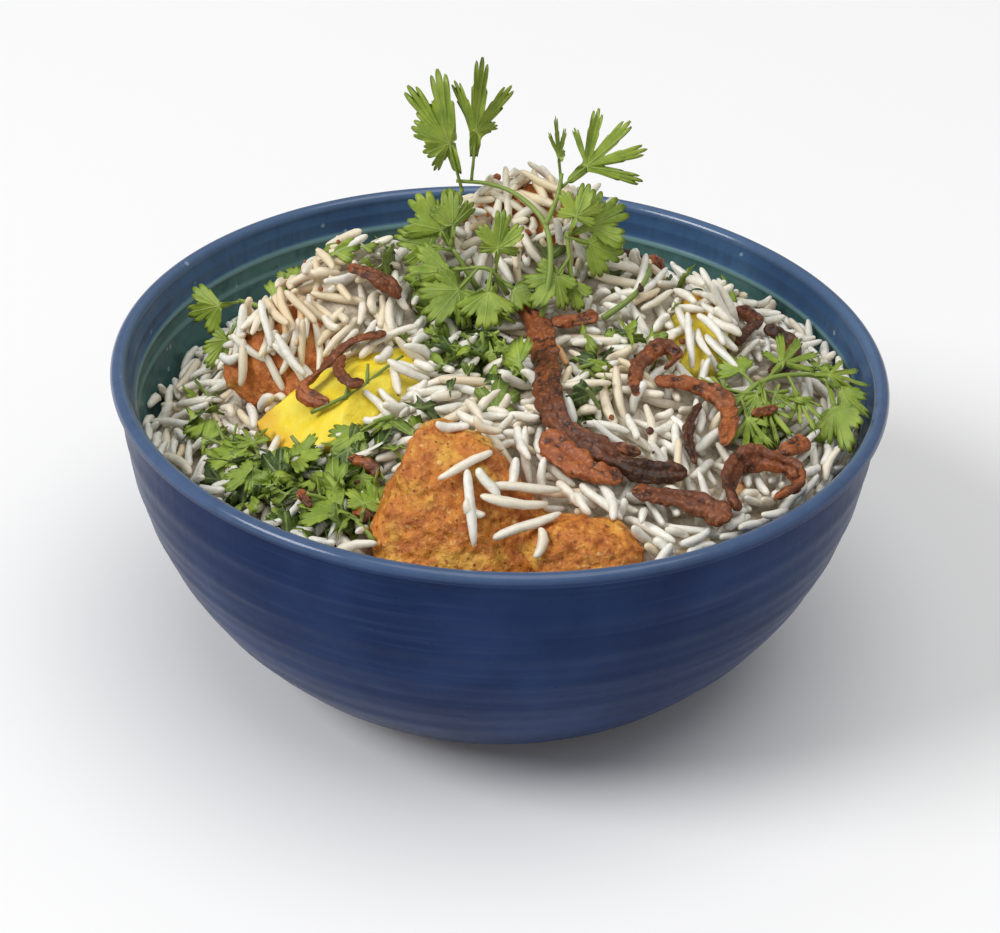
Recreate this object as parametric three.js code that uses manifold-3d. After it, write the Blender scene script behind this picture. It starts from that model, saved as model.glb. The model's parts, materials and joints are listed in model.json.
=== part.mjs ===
// A bowl of chicken biryani: a glazed stoneware bowl heaped with rice, with pieces of chicken, two
// chunks of yellow potato, strips of fried onion and coriander leaves lying in and on the heap.
// Millimetres, +Z up, origin at the middle of the bowl's foot; +Y is the far side of the dish.
import * as THREE from "three";
import { mergeVertices } from "three/addons/utils/BufferGeometryUtils.js";
import { ConvexGeometry } from "three/addons/geometries/ConvexGeometry.js";
import Module from "manifold-3d";

// Driving dimensions
const GAP = 0.3; // clearance kept between pieces that touch
const AROUND = 32; // flats round the bowl
const BOWL_HEIGHT = 76;
const RIM_RADIUS = 90; // outside of the rolled lip
const LIP_RADIUS = 1.8; // round section of the lip
const WALL_RADIUS = 87.85; // outside of the wall just under the lip
const WALL_DEPTH = 87.75; // depth at which the outside curve would close
const FOOT_RADIUS = 48;
const FOOT_HEIGHT = 4;
const INSIDE_RADIUS = 84.9; // inside of the wall just under the lip
const INSIDE_DEPTH = 79.5; // depth at which the inside curve would close
const WALL_CURVE = { fall: 2.2, close: 1.92 }; // powers of the wall's curve, 2 and 2 being an ellipse
const FLOOR = 8; // thickness of the bowl's bottom
const RICE_CROWN = 82; // height of the rice in the middle, between its mounds
const RICE_AT_WALL = { mean: 63, right: 6.5, back: -6.5, sides: -1 };
const RICE_FLAT = 0.3; // share of the radius over which the crown stays level
const RICE_SWELLS = { depth: 0.9, wave: 19 }; // unevenness of the top besides its mounds
const LEAF_THICK = 0.9;
const STEM_RADIUS = 0.75;

const MOUNDS = [
  { x: 2, y: 27, height: 25, wide: 16, deep: 12 },
  { x: -42, y: 12, height: 19, wide: 14, deep: 12 },
  { x: 36, y: 15, height: 8, wide: 11, deep: 11 },
  { x: 59, y: 5, height: 7, wide: 9, deep: 10 },
  { x: 20, y: -34, height: 3, wide: 14, deep: 12 },
];

const wasm = await Module();
wasm.setup();

// --- Turning shapes into solids and back ---

function welded(geometry) {
  const plain = geometry.clone();
  plain.deleteAttribute("normal");
  plain.deleteAttribute("uv");
  return mergeVertices(plain, 1e-4);
}

function solid(geometry) {
  const plain = welded(geometry);
  return new wasm.Manifold(
    new wasm.Mesh({
      numProp: 3,
      vertProperties: new Float32Array(plain.attributes.position.array),
      triVerts: new Uint32Array(plain.index.array),
    }),
  );
}

function geometryOf(made) {
  const mesh = made.getMesh();
  const geometry = new THREE.BufferGeometry();
  geometry.setAttribute("position", new THREE.BufferAttribute(mesh.vertProperties, 3));
  geometry.setIndex(new THREE.BufferAttribute(mesh.triVerts, 1));
  geometry.computeVertexNormals();
  return geometry;
}

// The largest body of a solid that cutting has left in pieces.
function largest(made) {
  const bodies = made.decompose();
  return bodies.reduce((best, body) => (body.volume() > best.volume() ? body : best));
}

// A solid turned about the upright through the origin, from points of radius and height.
function turned(line) {
  return solid(new THREE.LatheGeometry(line, AROUND).rotateX(Math.PI / 2));
}

// A gentle unevenness between about -1 and 1, with waves of the given length.
function unevenness(x, y, z, wave, seed) {
  const turn = (2 * Math.PI) / wave;
  return (
    0.5 * Math.sin(turn * (x + 0.4 * z) + seed) * Math.cos(turn * (0.8 * y - 0.3 * x) + 2 * seed) +
    0.3 * Math.sin(1.7 * turn * (y + 0.5 * z) + 3 * seed) +
    0.2 * Math.cos(2.3 * turn * (z + 0.6 * x - 0.4 * y) + seed)
  );
}

// A closed skin over rings of points: each ring joins to the next, and the end rings are closed by fans.
function skin(rings) {
  const count = rings[0].length;
  const mean = (ring) => ring.reduce((sum, p) => sum.add(p), new THREE.Vector3()).divideScalar(count);
  const points = [...rings.flat(), mean(rings[0]), mean(rings[rings.length - 1])];
  const faces = [];
  for (let r = 0; r < rings.length - 1; r++) {
    for (let i = 0; i < count; i++) {
      const a = r * count + i;
      const b = r * count + ((i + 1) % count);
      faces.push(a, b, b + count, a, b + count, a + count);
    }
  }
  const last = (rings.length - 1) * count;
  for (let i = 0; i < count; i++) {
    const next = (i + 1) % count;
    faces.push(points.length - 2, next, i, points.length - 1, last + i, last + next);
  }
  const geometry = new THREE.BufferGeometry().setFromPoints(points);
  geometry.setIndex(faces);
  return geometry;
}

// --- Bowl ---

// The radius at a height of a wall that would close at its full depth under the lip.
function wallRadius(radius, fullDepth, z) {
  const depth = Math.max(0, BOWL_HEIGHT - LIP_RADIUS - z);
  return radius * (1 - (depth / fullDepth) ** WALL_CURVE.fall) ** (1 / WALL_CURVE.close);
}

function outsideRadius(z) {
  return wallRadius(WALL_RADIUS, WALL_DEPTH, z);
}

function insideRadius(z) {
  return wallRadius(INSIDE_RADIUS, INSIDE_DEPTH, z);
}

// The inside of the bowl from the floor's edge up to the lip, drawn in by a margin.
function insideProfile(margin) {
  const steps = 7;
  const line = [new THREE.Vector2(insideRadius(FLOOR + 4) - 6 - margin, FLOOR + margin)];
  for (let i = 0; i <= steps; i++) {
    const z = THREE.MathUtils.lerp(FLOOR + 4, BOWL_HEIGHT - 8, i / steps);
    line.push(new THREE.Vector2(insideRadius(z) - margin, z));
  }
  return line;
}

function bowlProfile() {
  const steps = 8;
  const lip = new THREE.Vector2(RIM_RADIUS - LIP_RADIUS, BOWL_HEIGHT - LIP_RADIUS);
  const line = [
    new THREE.Vector2(0, 0),
    new THREE.Vector2(FOOT_RADIUS - 1, 0),
    new THREE.Vector2(FOOT_RADIUS, 1),
    new THREE.Vector2(FOOT_RADIUS, FOOT_HEIGHT - 1),
  ];
  for (let i = 0; i <= steps; i++) {
    const z = THREE.MathUtils.lerp(FOOT_HEIGHT, BOWL_HEIGHT - 3.6, i / steps);
    line.push(new THREE.Vector2(outsideRadius(z), z));
  }
  for (let angle = 0; angle <= 180; angle += 45) {
    const turn = THREE.MathUtils.degToRad(angle);
    line.push(new THREE.Vector2(Math.cos(turn), Math.sin(turn)).multiplyScalar(LIP_RADIUS).add(lip));
  }
  line.push(...insideProfile(0).reverse());
  line.push(new THREE.Vector2(0, FLOOR));
  return line;
}

// The room inside the bowl, kept clear of the wall and carried on upwards above the rim.
function cavity() {
  const line = [new THREE.Vector2(0, FLOOR + GAP), ...insideProfile(GAP)];
  const top = 2 * BOWL_HEIGHT;
  const side = INSIDE_RADIUS - GAP;
  line.push(new THREE.Vector2(side, BOWL_HEIGHT), new THREE.Vector2(side, top));
  line.push(new THREE.Vector2(0, top));
  return turned(line);
}

const room = cavity();

// --- Rice ---

function riceTop(x, y) {
  const azimuth = Math.atan2(y, x);
  const reach = Math.hypot(x, y) / INSIDE_RADIUS;
  const wall =
    RICE_AT_WALL.mean +
    RICE_AT_WALL.right * Math.cos(azimuth) +
    RICE_AT_WALL.back * Math.sin(azimuth) +
    RICE_AT_WALL.sides * Math.cos(2 * azimuth);
  const fall = THREE.MathUtils.smoothstep(reach, RICE_FLAT, 1);
  let z = THREE.MathUtils.lerp(RICE_CROWN, wall, fall);
  for (const mound of MOUNDS) {
    const across = (x - mound.x) / mound.wide;
    const along = (y - mound.y) / mound.deep;
    z += mound.height * Math.exp(-0.5 * (across * across + along * along));
  }
  return z + RICE_SWELLS.depth * unevenness(x, y, 0, RICE_SWELLS.wave, 2);
}

// The heap down to the bowl's floor, as rings of points from the bottom outwards and up over the top.
function riceHeap(raise) {
  const reach = INSIDE_RADIUS + 4;
  const rings = 11;
  const circle = (radius, height) =>
    Array.from({ length: AROUND }, (_, i) => {
      const turn = (2 * Math.PI * i) / AROUND;
      const x = radius * Math.cos(turn);
      const y = radius * Math.sin(turn);
      return new THREE.Vector3(x, y, height(x, y));
    });
  const levels = [circle(0.4 * reach, () => 0), circle(reach, () => 0)];
  for (let i = rings; i > 0; i--) {
    levels.push(circle((reach * i) / rings, (x, y) => riceTop(x, y) + raise));
  }
  return solid(skin(levels)).intersect(room);
}

// --- Chicken and potato ---

// A rounded, uneven piece of meat: a ball stretched to its half sizes, narrowed towards its top,
// leaned over, turned about the upright and roughened.
function lump(piece, grow) {
  const ball = welded(new THREE.IcosahedronGeometry(1, piece.detail));
  const place = ball.attributes.position;
  const turn = THREE.MathUtils.degToRad(piece.turn);
  for (let i = 0; i < place.count; i++) {
    const p = new THREE.Vector3().fromBufferAttribute(place, i);
    p.multiplyScalar(1 + piece.rough * unevenness(p.x, p.y, p.z, 2.1, piece.seed));
    const narrow = 1 - piece.taper * p.z;
    p.set(p.x * narrow + piece.lean[0] * p.z, p.y * narrow + piece.lean[1] * p.z, p.z);
    p.multiply(new THREE.Vector3(...piece.half).addScalar(grow));
    p.applyAxisAngle(new THREE.Vector3(0, 0, 1), turn);
    p.add(new THREE.Vector3(...piece.at));
    place.setXYZ(i, p.x, p.y, p.z);
  }
  return solid(ball);
}

const CHICKEN = {
  chicken_front: [
    {
      at: [-6.5, -63, 69], half: [19.5, 15, 23.5], turn: 6, taper: 0.34, lean: [-0.1, 0.6],
      rough: 0.14, seed: 3, detail: 4,
    },
    {
      at: [18.5, -71.5, 70.5], half: [14, 9, 7.5], turn: -6, taper: 0.1, lean: [0, 0.2],
      rough: 0.14, seed: 7, detail: 2,
    },
  ],
  chicken_left: [
    {
      at: [-44, -5, 74], half: [19, 12, 13], turn: 8, taper: 0.12, lean: [-0.1, 0.4],
      rough: 0.16, seed: 5, detail: 3,
    },
  ],
  chicken_back: [
    {
      at: [7, 25, 94], half: [18, 9.5, 14], turn: -10, taper: 0.25, lean: [0.1, 0],
      rough: 0.2, seed: 9, detail: 3,
    },
  ],
};

function chicken(name, grow) {
  const lumps = CHICKEN[name].map((piece) => lump(piece, grow));
  return lumps.reduce((sum, next) => sum.add(next));
}

// A chunk cut with a knife: the flat faces that close round its corners.
function chunk(corners, grow) {
  const points = corners.map((corner) => new THREE.Vector3(...corner));
  const middle = points.reduce((sum, p) => sum.add(p), new THREE.Vector3()).divideScalar(points.length);
  const longest = Math.max(...points.map((p) => p.distanceTo(middle)));
  const scale = 1 + (2 * grow) / longest;
  const grown = points.map((p) => p.clone().sub(middle).multiplyScalar(scale).add(middle));
  return solid(new ConvexGeometry(grown));
}

const POTATO = {
  potato_left: [
    [-55, -23, 69], [-44, -16, 77], [-33, -13, 82], [-21, -9, 83], [-17, -19, 79.5], [-26, -30, 77],
    [-32, -26, 83], [-36, -39, 75], [-47, -37, 69], [-50, -22, 60], [-24, -12, 62], [-30, -34, 62],
    [-44, -35, 61],
  ],
  potato_right: [
    [38, 5, 84], [44, 12, 88.5], [51, 11, 87.5], [52.5, 0, 86], [51, -10, 81], [43, -11, 80],
    [38, -3, 81], [40, 9, 70], [52, 9, 70], [50, -9, 69], [41, -8, 69],
  ],
};

// --- Fried onion ---

// A curled strip: a flat oval section carried along a smooth line, rolled about it and thinned to its ends.
function strip(piece, grow) {
  const line = new THREE.CatmullRomCurve3(piece.along.map((p) => new THREE.Vector3(...p)));
  const steps = Math.max(6, Math.round(line.getLength() / 4.5));
  const sides = 6;
  const rings = [];
  for (let i = 0; i <= steps; i++) {
    const share = i / steps;
    const middle = line.getPointAt(share);
    const ahead = line.getTangentAt(share);
    const across = new THREE.Vector3().crossVectors(ahead, new THREE.Vector3(0, 0, 1)).normalize();
    const roll = THREE.MathUtils.degToRad(THREE.MathUtils.lerp(piece.roll[0], piece.roll[1], share));
    across.applyAxisAngle(ahead, roll);
    const through = new THREE.Vector3().crossVectors(across, ahead);
    const slim = 0.55 + 0.45 * Math.sin(Math.PI * THREE.MathUtils.clamp(share * 1.1 - 0.05, 0, 1)) ** 0.5;
    const wide = (0.5 * piece.wide * slim) + grow;
    const thick = (0.5 * piece.thick * slim) + grow;
    const ring = [];
    for (let k = 0; k < sides; k++) {
      const turn = (-2 * Math.PI * k) / sides;
      const p = middle.clone().addScaledVector(across, wide * Math.cos(turn));
      ring.push(p.addScaledVector(through, thick * Math.sin(turn)));
    }
    rings.push(ring);
  }
  return solid(skin(rings));
}

const ONION = {
  onion_curl: {
    along: [[4, 2.5, 88.5], [8, -4, 86.8], [10, -17, 85.6], [10.5, -32, 86.3], [12.5, -42, 85],
      [19, -48.5, 82.6], [30, -53, 79.8], [41, -52, 78.8]],
    wide: 6, thick: 2.4, roll: [20, 50],
  },
  onion_arm: { along: [[11, -3, 86.8], [16, -2, 87], [22, -1, 88]], wide: 4, thick: 2, roll: [10, 40] },
  onion_thick: {
    along: [[10, -47, 84.5], [14, -52, 82.6], [20, -56, 81], [27, -57, 79.8]],
    wide: 6.5, thick: 3, roll: [30, 10],
  },
  onion_low: {
    along: [[29, -60, 78.6], [35, -60, 77.8], [42, -61, 77.2], [50, -65, 76]],
    wide: 6, thick: 2.6, roll: [0, 25],
  },
  onion_knot: {
    along: [[30, -31, 85], [30, -23, 85.6], [32, -17, 86.2], [36.5, -11, 86.4], [40, -13, 85.4],
      [37, -18.5, 85]],
    wide: 3.4, thick: 1.8, roll: [0, 60],
  },
  onion_bend: {
    along: [[34.5, -24, 85], [42.5, -22.5, 83.4], [48, -24, 82], [51, -29, 80.8], [50, -41, 79.2]],
    wide: 4.6, thick: 2.2, roll: [10, 40],
  },
  onion_stem: {
    along: [[44.5, -28, 82], [42.5, -34, 81.2], [41.5, -41, 80.4], [43, -48.5, 79]],
    wide: 2.4, thick: 1.6, roll: [0, 0],
  },
  onion_ring: {
    along: [[51.5, -62, 76.5], [50, -53, 77.6], [53.5, -46, 78.6], [59, -44.5, 78], [64.5, -46, 76.8],
      [65, -51, 76.2], [60, -56, 76]],
    wide: 5, thick: 2.2, roll: [50, 60],
  },
  onion_tip: {
    along: [[61, -40, 77], [65, -36.5, 76.8], [68.5, -32, 76.4]],
    wide: 4.6, thick: 2.4, roll: [0, 20],
  },
  onion_right_back: {
    along: [[55, 14, 83.5], [59, 9, 83.3], [57, 3, 83.6], [54, -3, 83]],
    wide: 4.2, thick: 2.2, roll: [10, 60],
  },
  onion_right_edge: {
    along: [[61, 6, 83], [67, 4, 80.6], [67, -3, 79.8], [62, -11, 80]],
    wide: 4.4, thick: 2.4, roll: [40, 10],
  },
  onion_back: {
    along: [[22, 31, 90], [27, 33, 86.5], [32, 33, 84], [36, 29, 84]],
    wide: 5, thick: 2.4, roll: [0, 30],
  },
  onion_on_potato: {
    along: [[-26, -12.5, 87.5], [-31, -13.5, 87], [-35.5, -15.5, 85], [-40, -21, 82.3],
      [-44, -25, 79.6], [-41, -29, 79.5], [-37.5, -31, 80]],
    wide: 3.6, thick: 1.8, roll: [20, 60],
  },
  onion_hook: {
    along: [[-35, -19.5, 85.5], [-36, -24, 84.3], [-33, -29, 84.3], [-30, -28, 84]],
    wide: 2.8, thick: 1.7, roll: [0, 40],
  },
  onion_left_top: {
    along: [[-36, 2, 96.3], [-31, 1, 95.6], [-26.5, 0, 93.6], [-23.5, -2, 91]],
    wide: 4, thick: 2, roll: [0, 30],
  },
};

// --- Coriander ---

// One leaflet's outline: lobes that fan out about its middle, with a deep notch between each two.
function leafOutline(length, wide) {
  const lobes = 3;
  const shares = [0.34, 0.96, 0.96]; // reach at a notch and at the two corners of a lobe's end
  const count = shares.length * lobes;
  const half = THREE.MathUtils.degToRad(122);
  const outline = [new THREE.Vector2(-0.04 * length, -0.02 * length)];
  for (let i = 0; i <= count; i++) {
    const angle = THREE.MathUtils.lerp(-half, half, i / count);
    const reach = 0.57 * shares[i % shares.length] * (1 - 0.2 * Math.abs(angle / half));
    outline.push(
      new THREE.Vector2(wide * reach * Math.sin(angle), length * (0.43 + reach * Math.cos(angle))),
    );
  }
  outline.push(new THREE.Vector2(0.04 * length, -0.02 * length));
  return new THREE.Shape(outline);
}

// A leaflet from its foot to its tip, with its face towards the given direction and a little cupped.
function leaflet(leaf, grow) {
  const foot = new THREE.Vector3(...leaf.foot);
  const tip = new THREE.Vector3(...leaf.tip);
  const along = tip.clone().sub(foot);
  const length = along.length();
  along.normalize();
  const face = new THREE.Vector3(...leaf.face);
  const across = new THREE.Vector3().crossVectors(along, face).normalize();
  const out = new THREE.Vector3().crossVectors(across, along);
  const thick = LEAF_THICK + 2 * grow;
  const shape = leafOutline(length + 2 * grow, leaf.wide * length + 2 * grow);
  const plate = new THREE.ExtrudeGeometry(shape, { depth: thick, bevelEnabled: false });
  plate.translate(0, 0, -0.5 * thick);
  const place = plate.attributes.position;
  for (let i = 0; i < place.count; i++) {
    const p = new THREE.Vector3().fromBufferAttribute(place, i);
    const cup = leaf.cup * ((p.x * p.x) / length + 0.5 * (p.y * p.y) / length);
    const q = foot.clone().addScaledVector(across, p.x).addScaledVector(along, p.y);
    q.addScaledVector(out, p.z - cup);
    place.setXYZ(i, q.x, q.y, q.z);
  }
  return solid(plate);
}

function stem(points, radius) {
  const line = new THREE.CatmullRomCurve3(points.map((p) => new THREE.Vector3(...p)));
  const section = new THREE.Shape(
    Array.from({ length: 5 }, (_, k) => {
      const turn = (2 * Math.PI * k) / 5;
      return new THREE.Vector2(radius * Math.cos(turn), radius * Math.sin(turn));
    }),
  );
  const steps = Math.max(2, Math.round(line.getLength() / 5));
  return solid(new THREE.ExtrudeGeometry(section, { steps, extrudePath: line, bevelEnabled: false }));
}

// Stems and leaflets grown together into one sprig; each leaflet's foot lies on a stem.
function sprig(piece, grow) {
  const stems = piece.stems.map((line) => stem(line, STEM_RADIUS + grow));
  const leaves = piece.leaves.map((leaf) => leaflet(leaf, grow));
  return [...stems, ...leaves].reduce((sum, next) => sum.add(next));
}

const FRONT = [0, -0.85, 0.5]; // a leaf that shows its face to the front
const UPWARD = [0, -0.35, 0.95]; // a leaf that lies on the heap

const CORIANDER = {
  coriander_top: {
    stems: [
      [[9, -3, 88], [10.5, 3, 98], [9, 10, 105], [3, 17, 108.5], [-4, 21, 109.5], [-12, 22, 109.5]],
      [[-9, 22, 110], [-9, 22.5, 117]],
      [[9, 10, 105], [11.5, 15, 110], [12.3, 18, 114.5]],
    ],
    leaves: [
      { foot: [-12, 22, 109], tip: [-18, 22, 134], face: FRONT, wide: 0.5, cup: 0.15 },
      { foot: [-9, 22.5, 116], tip: [-7.2, 22.5, 140.5], face: FRONT, wide: 0.52, cup: -0.1 },
      { foot: [12.3, 18, 113.5], tip: [10.2, 18, 128.5], face: FRONT, wide: 0.35, cup: 0.1 },
      { foot: [12.3, 18, 114], tip: [26, 17, 125], face: FRONT, wide: 0.85, cup: 0.15 },
    ],
  },
  coriander_low_left: {
    stems: [[[-6, 6, 90], [-12, 9, 98.5]]],
    leaves: [
      { foot: [-12, 9, 98], tip: [-18.5, 13, 108], face: FRONT, wide: 0.8, cup: 0.2 },
      { foot: [-12, 9, 98], tip: [-23, 10, 99.5], face: FRONT, wide: 0.8, cup: 0.2 },
    ],
  },
  coriander_low_front: {
    stems: [[[1, 4, 90], [-3, 4, 96], [-8, 4, 96.5]]],
    leaves: [
      { foot: [-7, 4, 96.5], tip: [-20, 3, 94], face: UPWARD, wide: 0.75, cup: 0.2 },
      { foot: [-6, 4, 96.5], tip: [-15, -7, 89.5], face: FRONT, wide: 0.8, cup: 0.2 },
      { foot: [-3, 4, 96], tip: [-3.5, -7, 90.5], face: FRONT, wide: 0.8, cup: 0.2 },
      { foot: [-2, 4, 95.5], tip: [-1, 7, 108], face: FRONT, wide: 0.6, cup: 0.1 },
    ],
  },
  coriander_low_right: {
    stems: [[[16, 3, 90], [15, 6, 97], [14, 10, 103.5]]],
    leaves: [
      { foot: [14, 10, 103], tip: [25.5, 13, 108.5], face: FRONT, wide: 0.85, cup: 0.2 },
      { foot: [14.5, 9, 102], tip: [25, 10, 98], face: FRONT, wide: 0.8, cup: 0.2 },
      { foot: [15, 7, 99], tip: [8.5, -4, 93], face: FRONT, wide: 0.7, cup: 0.2 },
    ],
  },
  coriander_right: {
    stems: [[[50, -28, 78], [55, -23, 82], [59, -19, 83], [64, -16, 83], [71, -13, 81.5], [76, -14, 79.5]]],
    leaves: [
      { foot: [63, -16, 83], tip: [68.5, -5, 84.5], face: UPWARD, wide: 0.85, cup: 0.1 },
      { foot: [71, -13, 81.5], tip: [83.5, -10, 79.5], face: UPWARD, wide: 0.75, cup: 0.2 },
      { foot: [75.5, -14, 79.5], tip: [77.5, -31, 75], face: FRONT, wide: 0.5, cup: 0.2 },
      { foot: [58, -20, 82.8], tip: [61, -33, 78.5], face: UPWARD, wide: 0.7, cup: 0.2 },
      { foot: [54, -24, 81.5], tip: [56, -38, 78], face: UPWARD, wide: 0.5, cup: 0.2 },
    ],
  },
  coriander_left: {
    stems: [[[-54, 16, 76], [-60, 18, 77], [-63, 21, 76]], [[-60, 18, 77], [-63, 15, 73.5]]],
    leaves: [
      { foot: [-62.5, 20.5, 76], tip: [-75.5, 22, 71.5], face: FRONT, wide: 0.95, cup: 0.2 },
      { foot: [-62.5, 15, 74], tip: [-69.5, 10, 63.5], face: FRONT, wide: 0.7, cup: 0.2 },
    ],
  },
  coriander_front_left: {
    stems: [[[-54, -39, 66], [-52, -40, 70.5], [-48, -42, 71.5]]],
    leaves: [
      { foot: [-49, -41.5, 71.5], tip: [-38.5, -46, 74.5], face: UPWARD, wide: 0.85, cup: -0.2 },
      { foot: [-52, -40, 70.5], tip: [-60, -26, 70], face: UPWARD, wide: 0.45, cup: 0.2 },
      { foot: [-52.5, -40, 70], tip: [-64, -35, 67.5], face: UPWARD, wide: 0.5, cup: 0.2 },
    ],
  },
  coriander_front: {
    stems: [[[-23, -36, 80], [-27, -39.5, 80.8]]],
    leaves: [{ foot: [-26, -39, 80.8], tip: [-36, -45, 76.5], face: UPWARD, wide: 0.8, cup: 0.2 }],
  },
  coriander_rim: {
    stems: [[[-25, -70, 70], [-29, -67, 73]]],
    leaves: [{ foot: [-28, -67.5, 73], tip: [-41, -57, 73], face: UPWARD, wide: 0.75, cup: 0.2 }],
  },
};

const STALK = [[23, -2, 88], [27, 0.5, 90], [30.7, 4, 91.8], [33.2, 10, 92.8], [34, 17, 92]];

// --- Putting the dish together ---

// Each later piece is cut back by what it lies on and by the pieces laid before it.
const dish = new THREE.Group();

function put(name, made, look) {
  const mesh = new THREE.Mesh(geometryOf(made), new THREE.MeshStandardMaterial(look));
  mesh.name = name;
  dish.add(mesh);
}

const CHICKEN_LOOK = { color: 0xb8742b, roughness: 0.5, metalness: 0 };
const POTATO_LOOK = { color: 0xe0cd52, roughness: 0.55, metalness: 0 };
const ONION_LOOK = { color: 0x74422a, roughness: 0.45, metalness: 0 };
const CORIANDER_LOOK = { color: 0x6f8434, roughness: 0.6, metalness: 0 };
const RICE_LOOK = { color: 0xd6d0c0, roughness: 0.55, metalness: 0 };
const BOWL_LOOK = { color: 0x33456b, roughness: 0.3, metalness: 0 };

const laid = []; // the pieces so far, each a little fatter than it is

function lay(name, shape, look) {
  let made = shape(0).intersect(room);
  for (const earlier of laid) made = made.subtract(earlier);
  put(name, largest(made), look);
  laid.push(shape(1.5 * GAP));
}

put("bowl", turned(bowlProfile()), BOWL_LOOK);

for (const name of Object.keys(POTATO)) {
  lay(name, (grow) => chunk(POTATO[name], grow), POTATO_LOOK);
}
for (const name of Object.keys(CHICKEN)) {
  lay(name, (grow) => chicken(name, grow), CHICKEN_LOOK);
}
const heap = laid.reduce((left, piece) => left.subtract(piece), riceHeap(0));
put("rice", largest(heap), RICE_LOOK);
laid.push(riceHeap(GAP));

for (const name of Object.keys(ONION)) {
  lay(name, (grow) => strip(ONION[name], grow), ONION_LOOK);
}
for (const name of Object.keys(CORIANDER)) {
  lay(name, (grow) => sprig(CORIANDER[name], grow), CORIANDER_LOOK);
}
lay("green_stalk", (grow) => stem(STALK, STEM_RADIUS + grow), CORIANDER_LOOK);

export default dish;
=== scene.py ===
"""A bowl of chicken biryani: stoneware bowl, long rice grains heaped over a pale core, chicken, yellow
potato, strips of fried onion and coriander. Sizes are in millimetres until a mesh is made."""
import itertools
import json

import bmesh
import bpy
import numpy as np
from mathutils import Matrix, Vector
from mathutils.bvhtree import BVHTree

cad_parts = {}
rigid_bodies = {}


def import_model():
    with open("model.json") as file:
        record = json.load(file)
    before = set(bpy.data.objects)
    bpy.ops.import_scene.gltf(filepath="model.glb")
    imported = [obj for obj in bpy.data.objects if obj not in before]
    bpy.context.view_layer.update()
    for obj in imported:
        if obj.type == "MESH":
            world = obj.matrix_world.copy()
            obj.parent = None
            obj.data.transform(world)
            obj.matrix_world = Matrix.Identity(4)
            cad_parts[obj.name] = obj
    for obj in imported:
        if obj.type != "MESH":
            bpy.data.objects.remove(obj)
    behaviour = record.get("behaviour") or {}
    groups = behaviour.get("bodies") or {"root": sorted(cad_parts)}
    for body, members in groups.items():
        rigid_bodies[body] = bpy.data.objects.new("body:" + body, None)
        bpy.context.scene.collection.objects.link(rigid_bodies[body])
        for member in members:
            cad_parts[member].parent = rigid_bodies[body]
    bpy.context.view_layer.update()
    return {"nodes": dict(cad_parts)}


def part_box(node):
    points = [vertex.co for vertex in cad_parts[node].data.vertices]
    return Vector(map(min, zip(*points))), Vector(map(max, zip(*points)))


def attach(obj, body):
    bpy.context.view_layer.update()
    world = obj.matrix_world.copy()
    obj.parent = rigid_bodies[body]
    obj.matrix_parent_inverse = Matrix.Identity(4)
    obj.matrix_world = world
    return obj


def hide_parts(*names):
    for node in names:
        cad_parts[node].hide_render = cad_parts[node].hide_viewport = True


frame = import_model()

MM = 0.001


# ---------------------------------------------------------------------------------------------------
# Bowl. Stoneware thrown on a wheel, with faint throwing rings and a rolled lip. A navy glaze covers the
# outside and runs over the lip as a band; below a fine ridge the inside is glazed teal. The foot ring is
# left bare for the kiln shelf.


class Wire:
    """A socket of a node tree. Sums and products of wires add the Math nodes that work them out."""

    def __init__(self, net, socket):
        self.net = net
        self.socket = socket

    def maths(self, operation, left, right=0.0):
        return self.net.node("ShaderNodeMath", {"operation": operation}, {0: left, 1: right})

    def __add__(self, other):
        return self.maths("ADD", self, other)

    __radd__ = __add__

    def __mul__(self, other):
        return self.maths("MULTIPLY", self, other)

    __rmul__ = __mul__

    def __sub__(self, other):
        return self.maths("SUBTRACT", self, other)

    def __rsub__(self, other):
        return self.maths("SUBTRACT", other, self)

    def __truediv__(self, other):
        return self.maths("DIVIDE", self, other)

    def __abs__(self):
        return self.maths("ABSOLUTE", self)

    def rise(self, low, high):
        """0 below low and 1 above high, with a soft step between; high may lie under low."""
        ends = {"Value": self, "From Min": low, "From Max": high}
        return self.net.node("ShaderNodeMapRange", {"interpolation_type": "SMOOTHSTEP"}, ends)


class Net:
    """A node tree being wired up."""

    def __init__(self, tree):
        self.tree = tree

    def node(self, kind, settings=None, sockets=None, out=0):
        made = self.tree.nodes.new(kind)
        for name, value in (settings or {}).items():
            setattr(made, name, value)
        for name, value in (sockets or {}).items():
            self.feed(made.inputs[name], value)
        return Wire(self, made.outputs[out]) if made.outputs else made

    def feed(self, socket, value):
        if isinstance(value, Wire):
            self.tree.links.new(value.socket, socket)
        elif socket.type == "RGBA":
            socket.default_value = (*value, 1.0)
        else:
            socket.default_value = value


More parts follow.
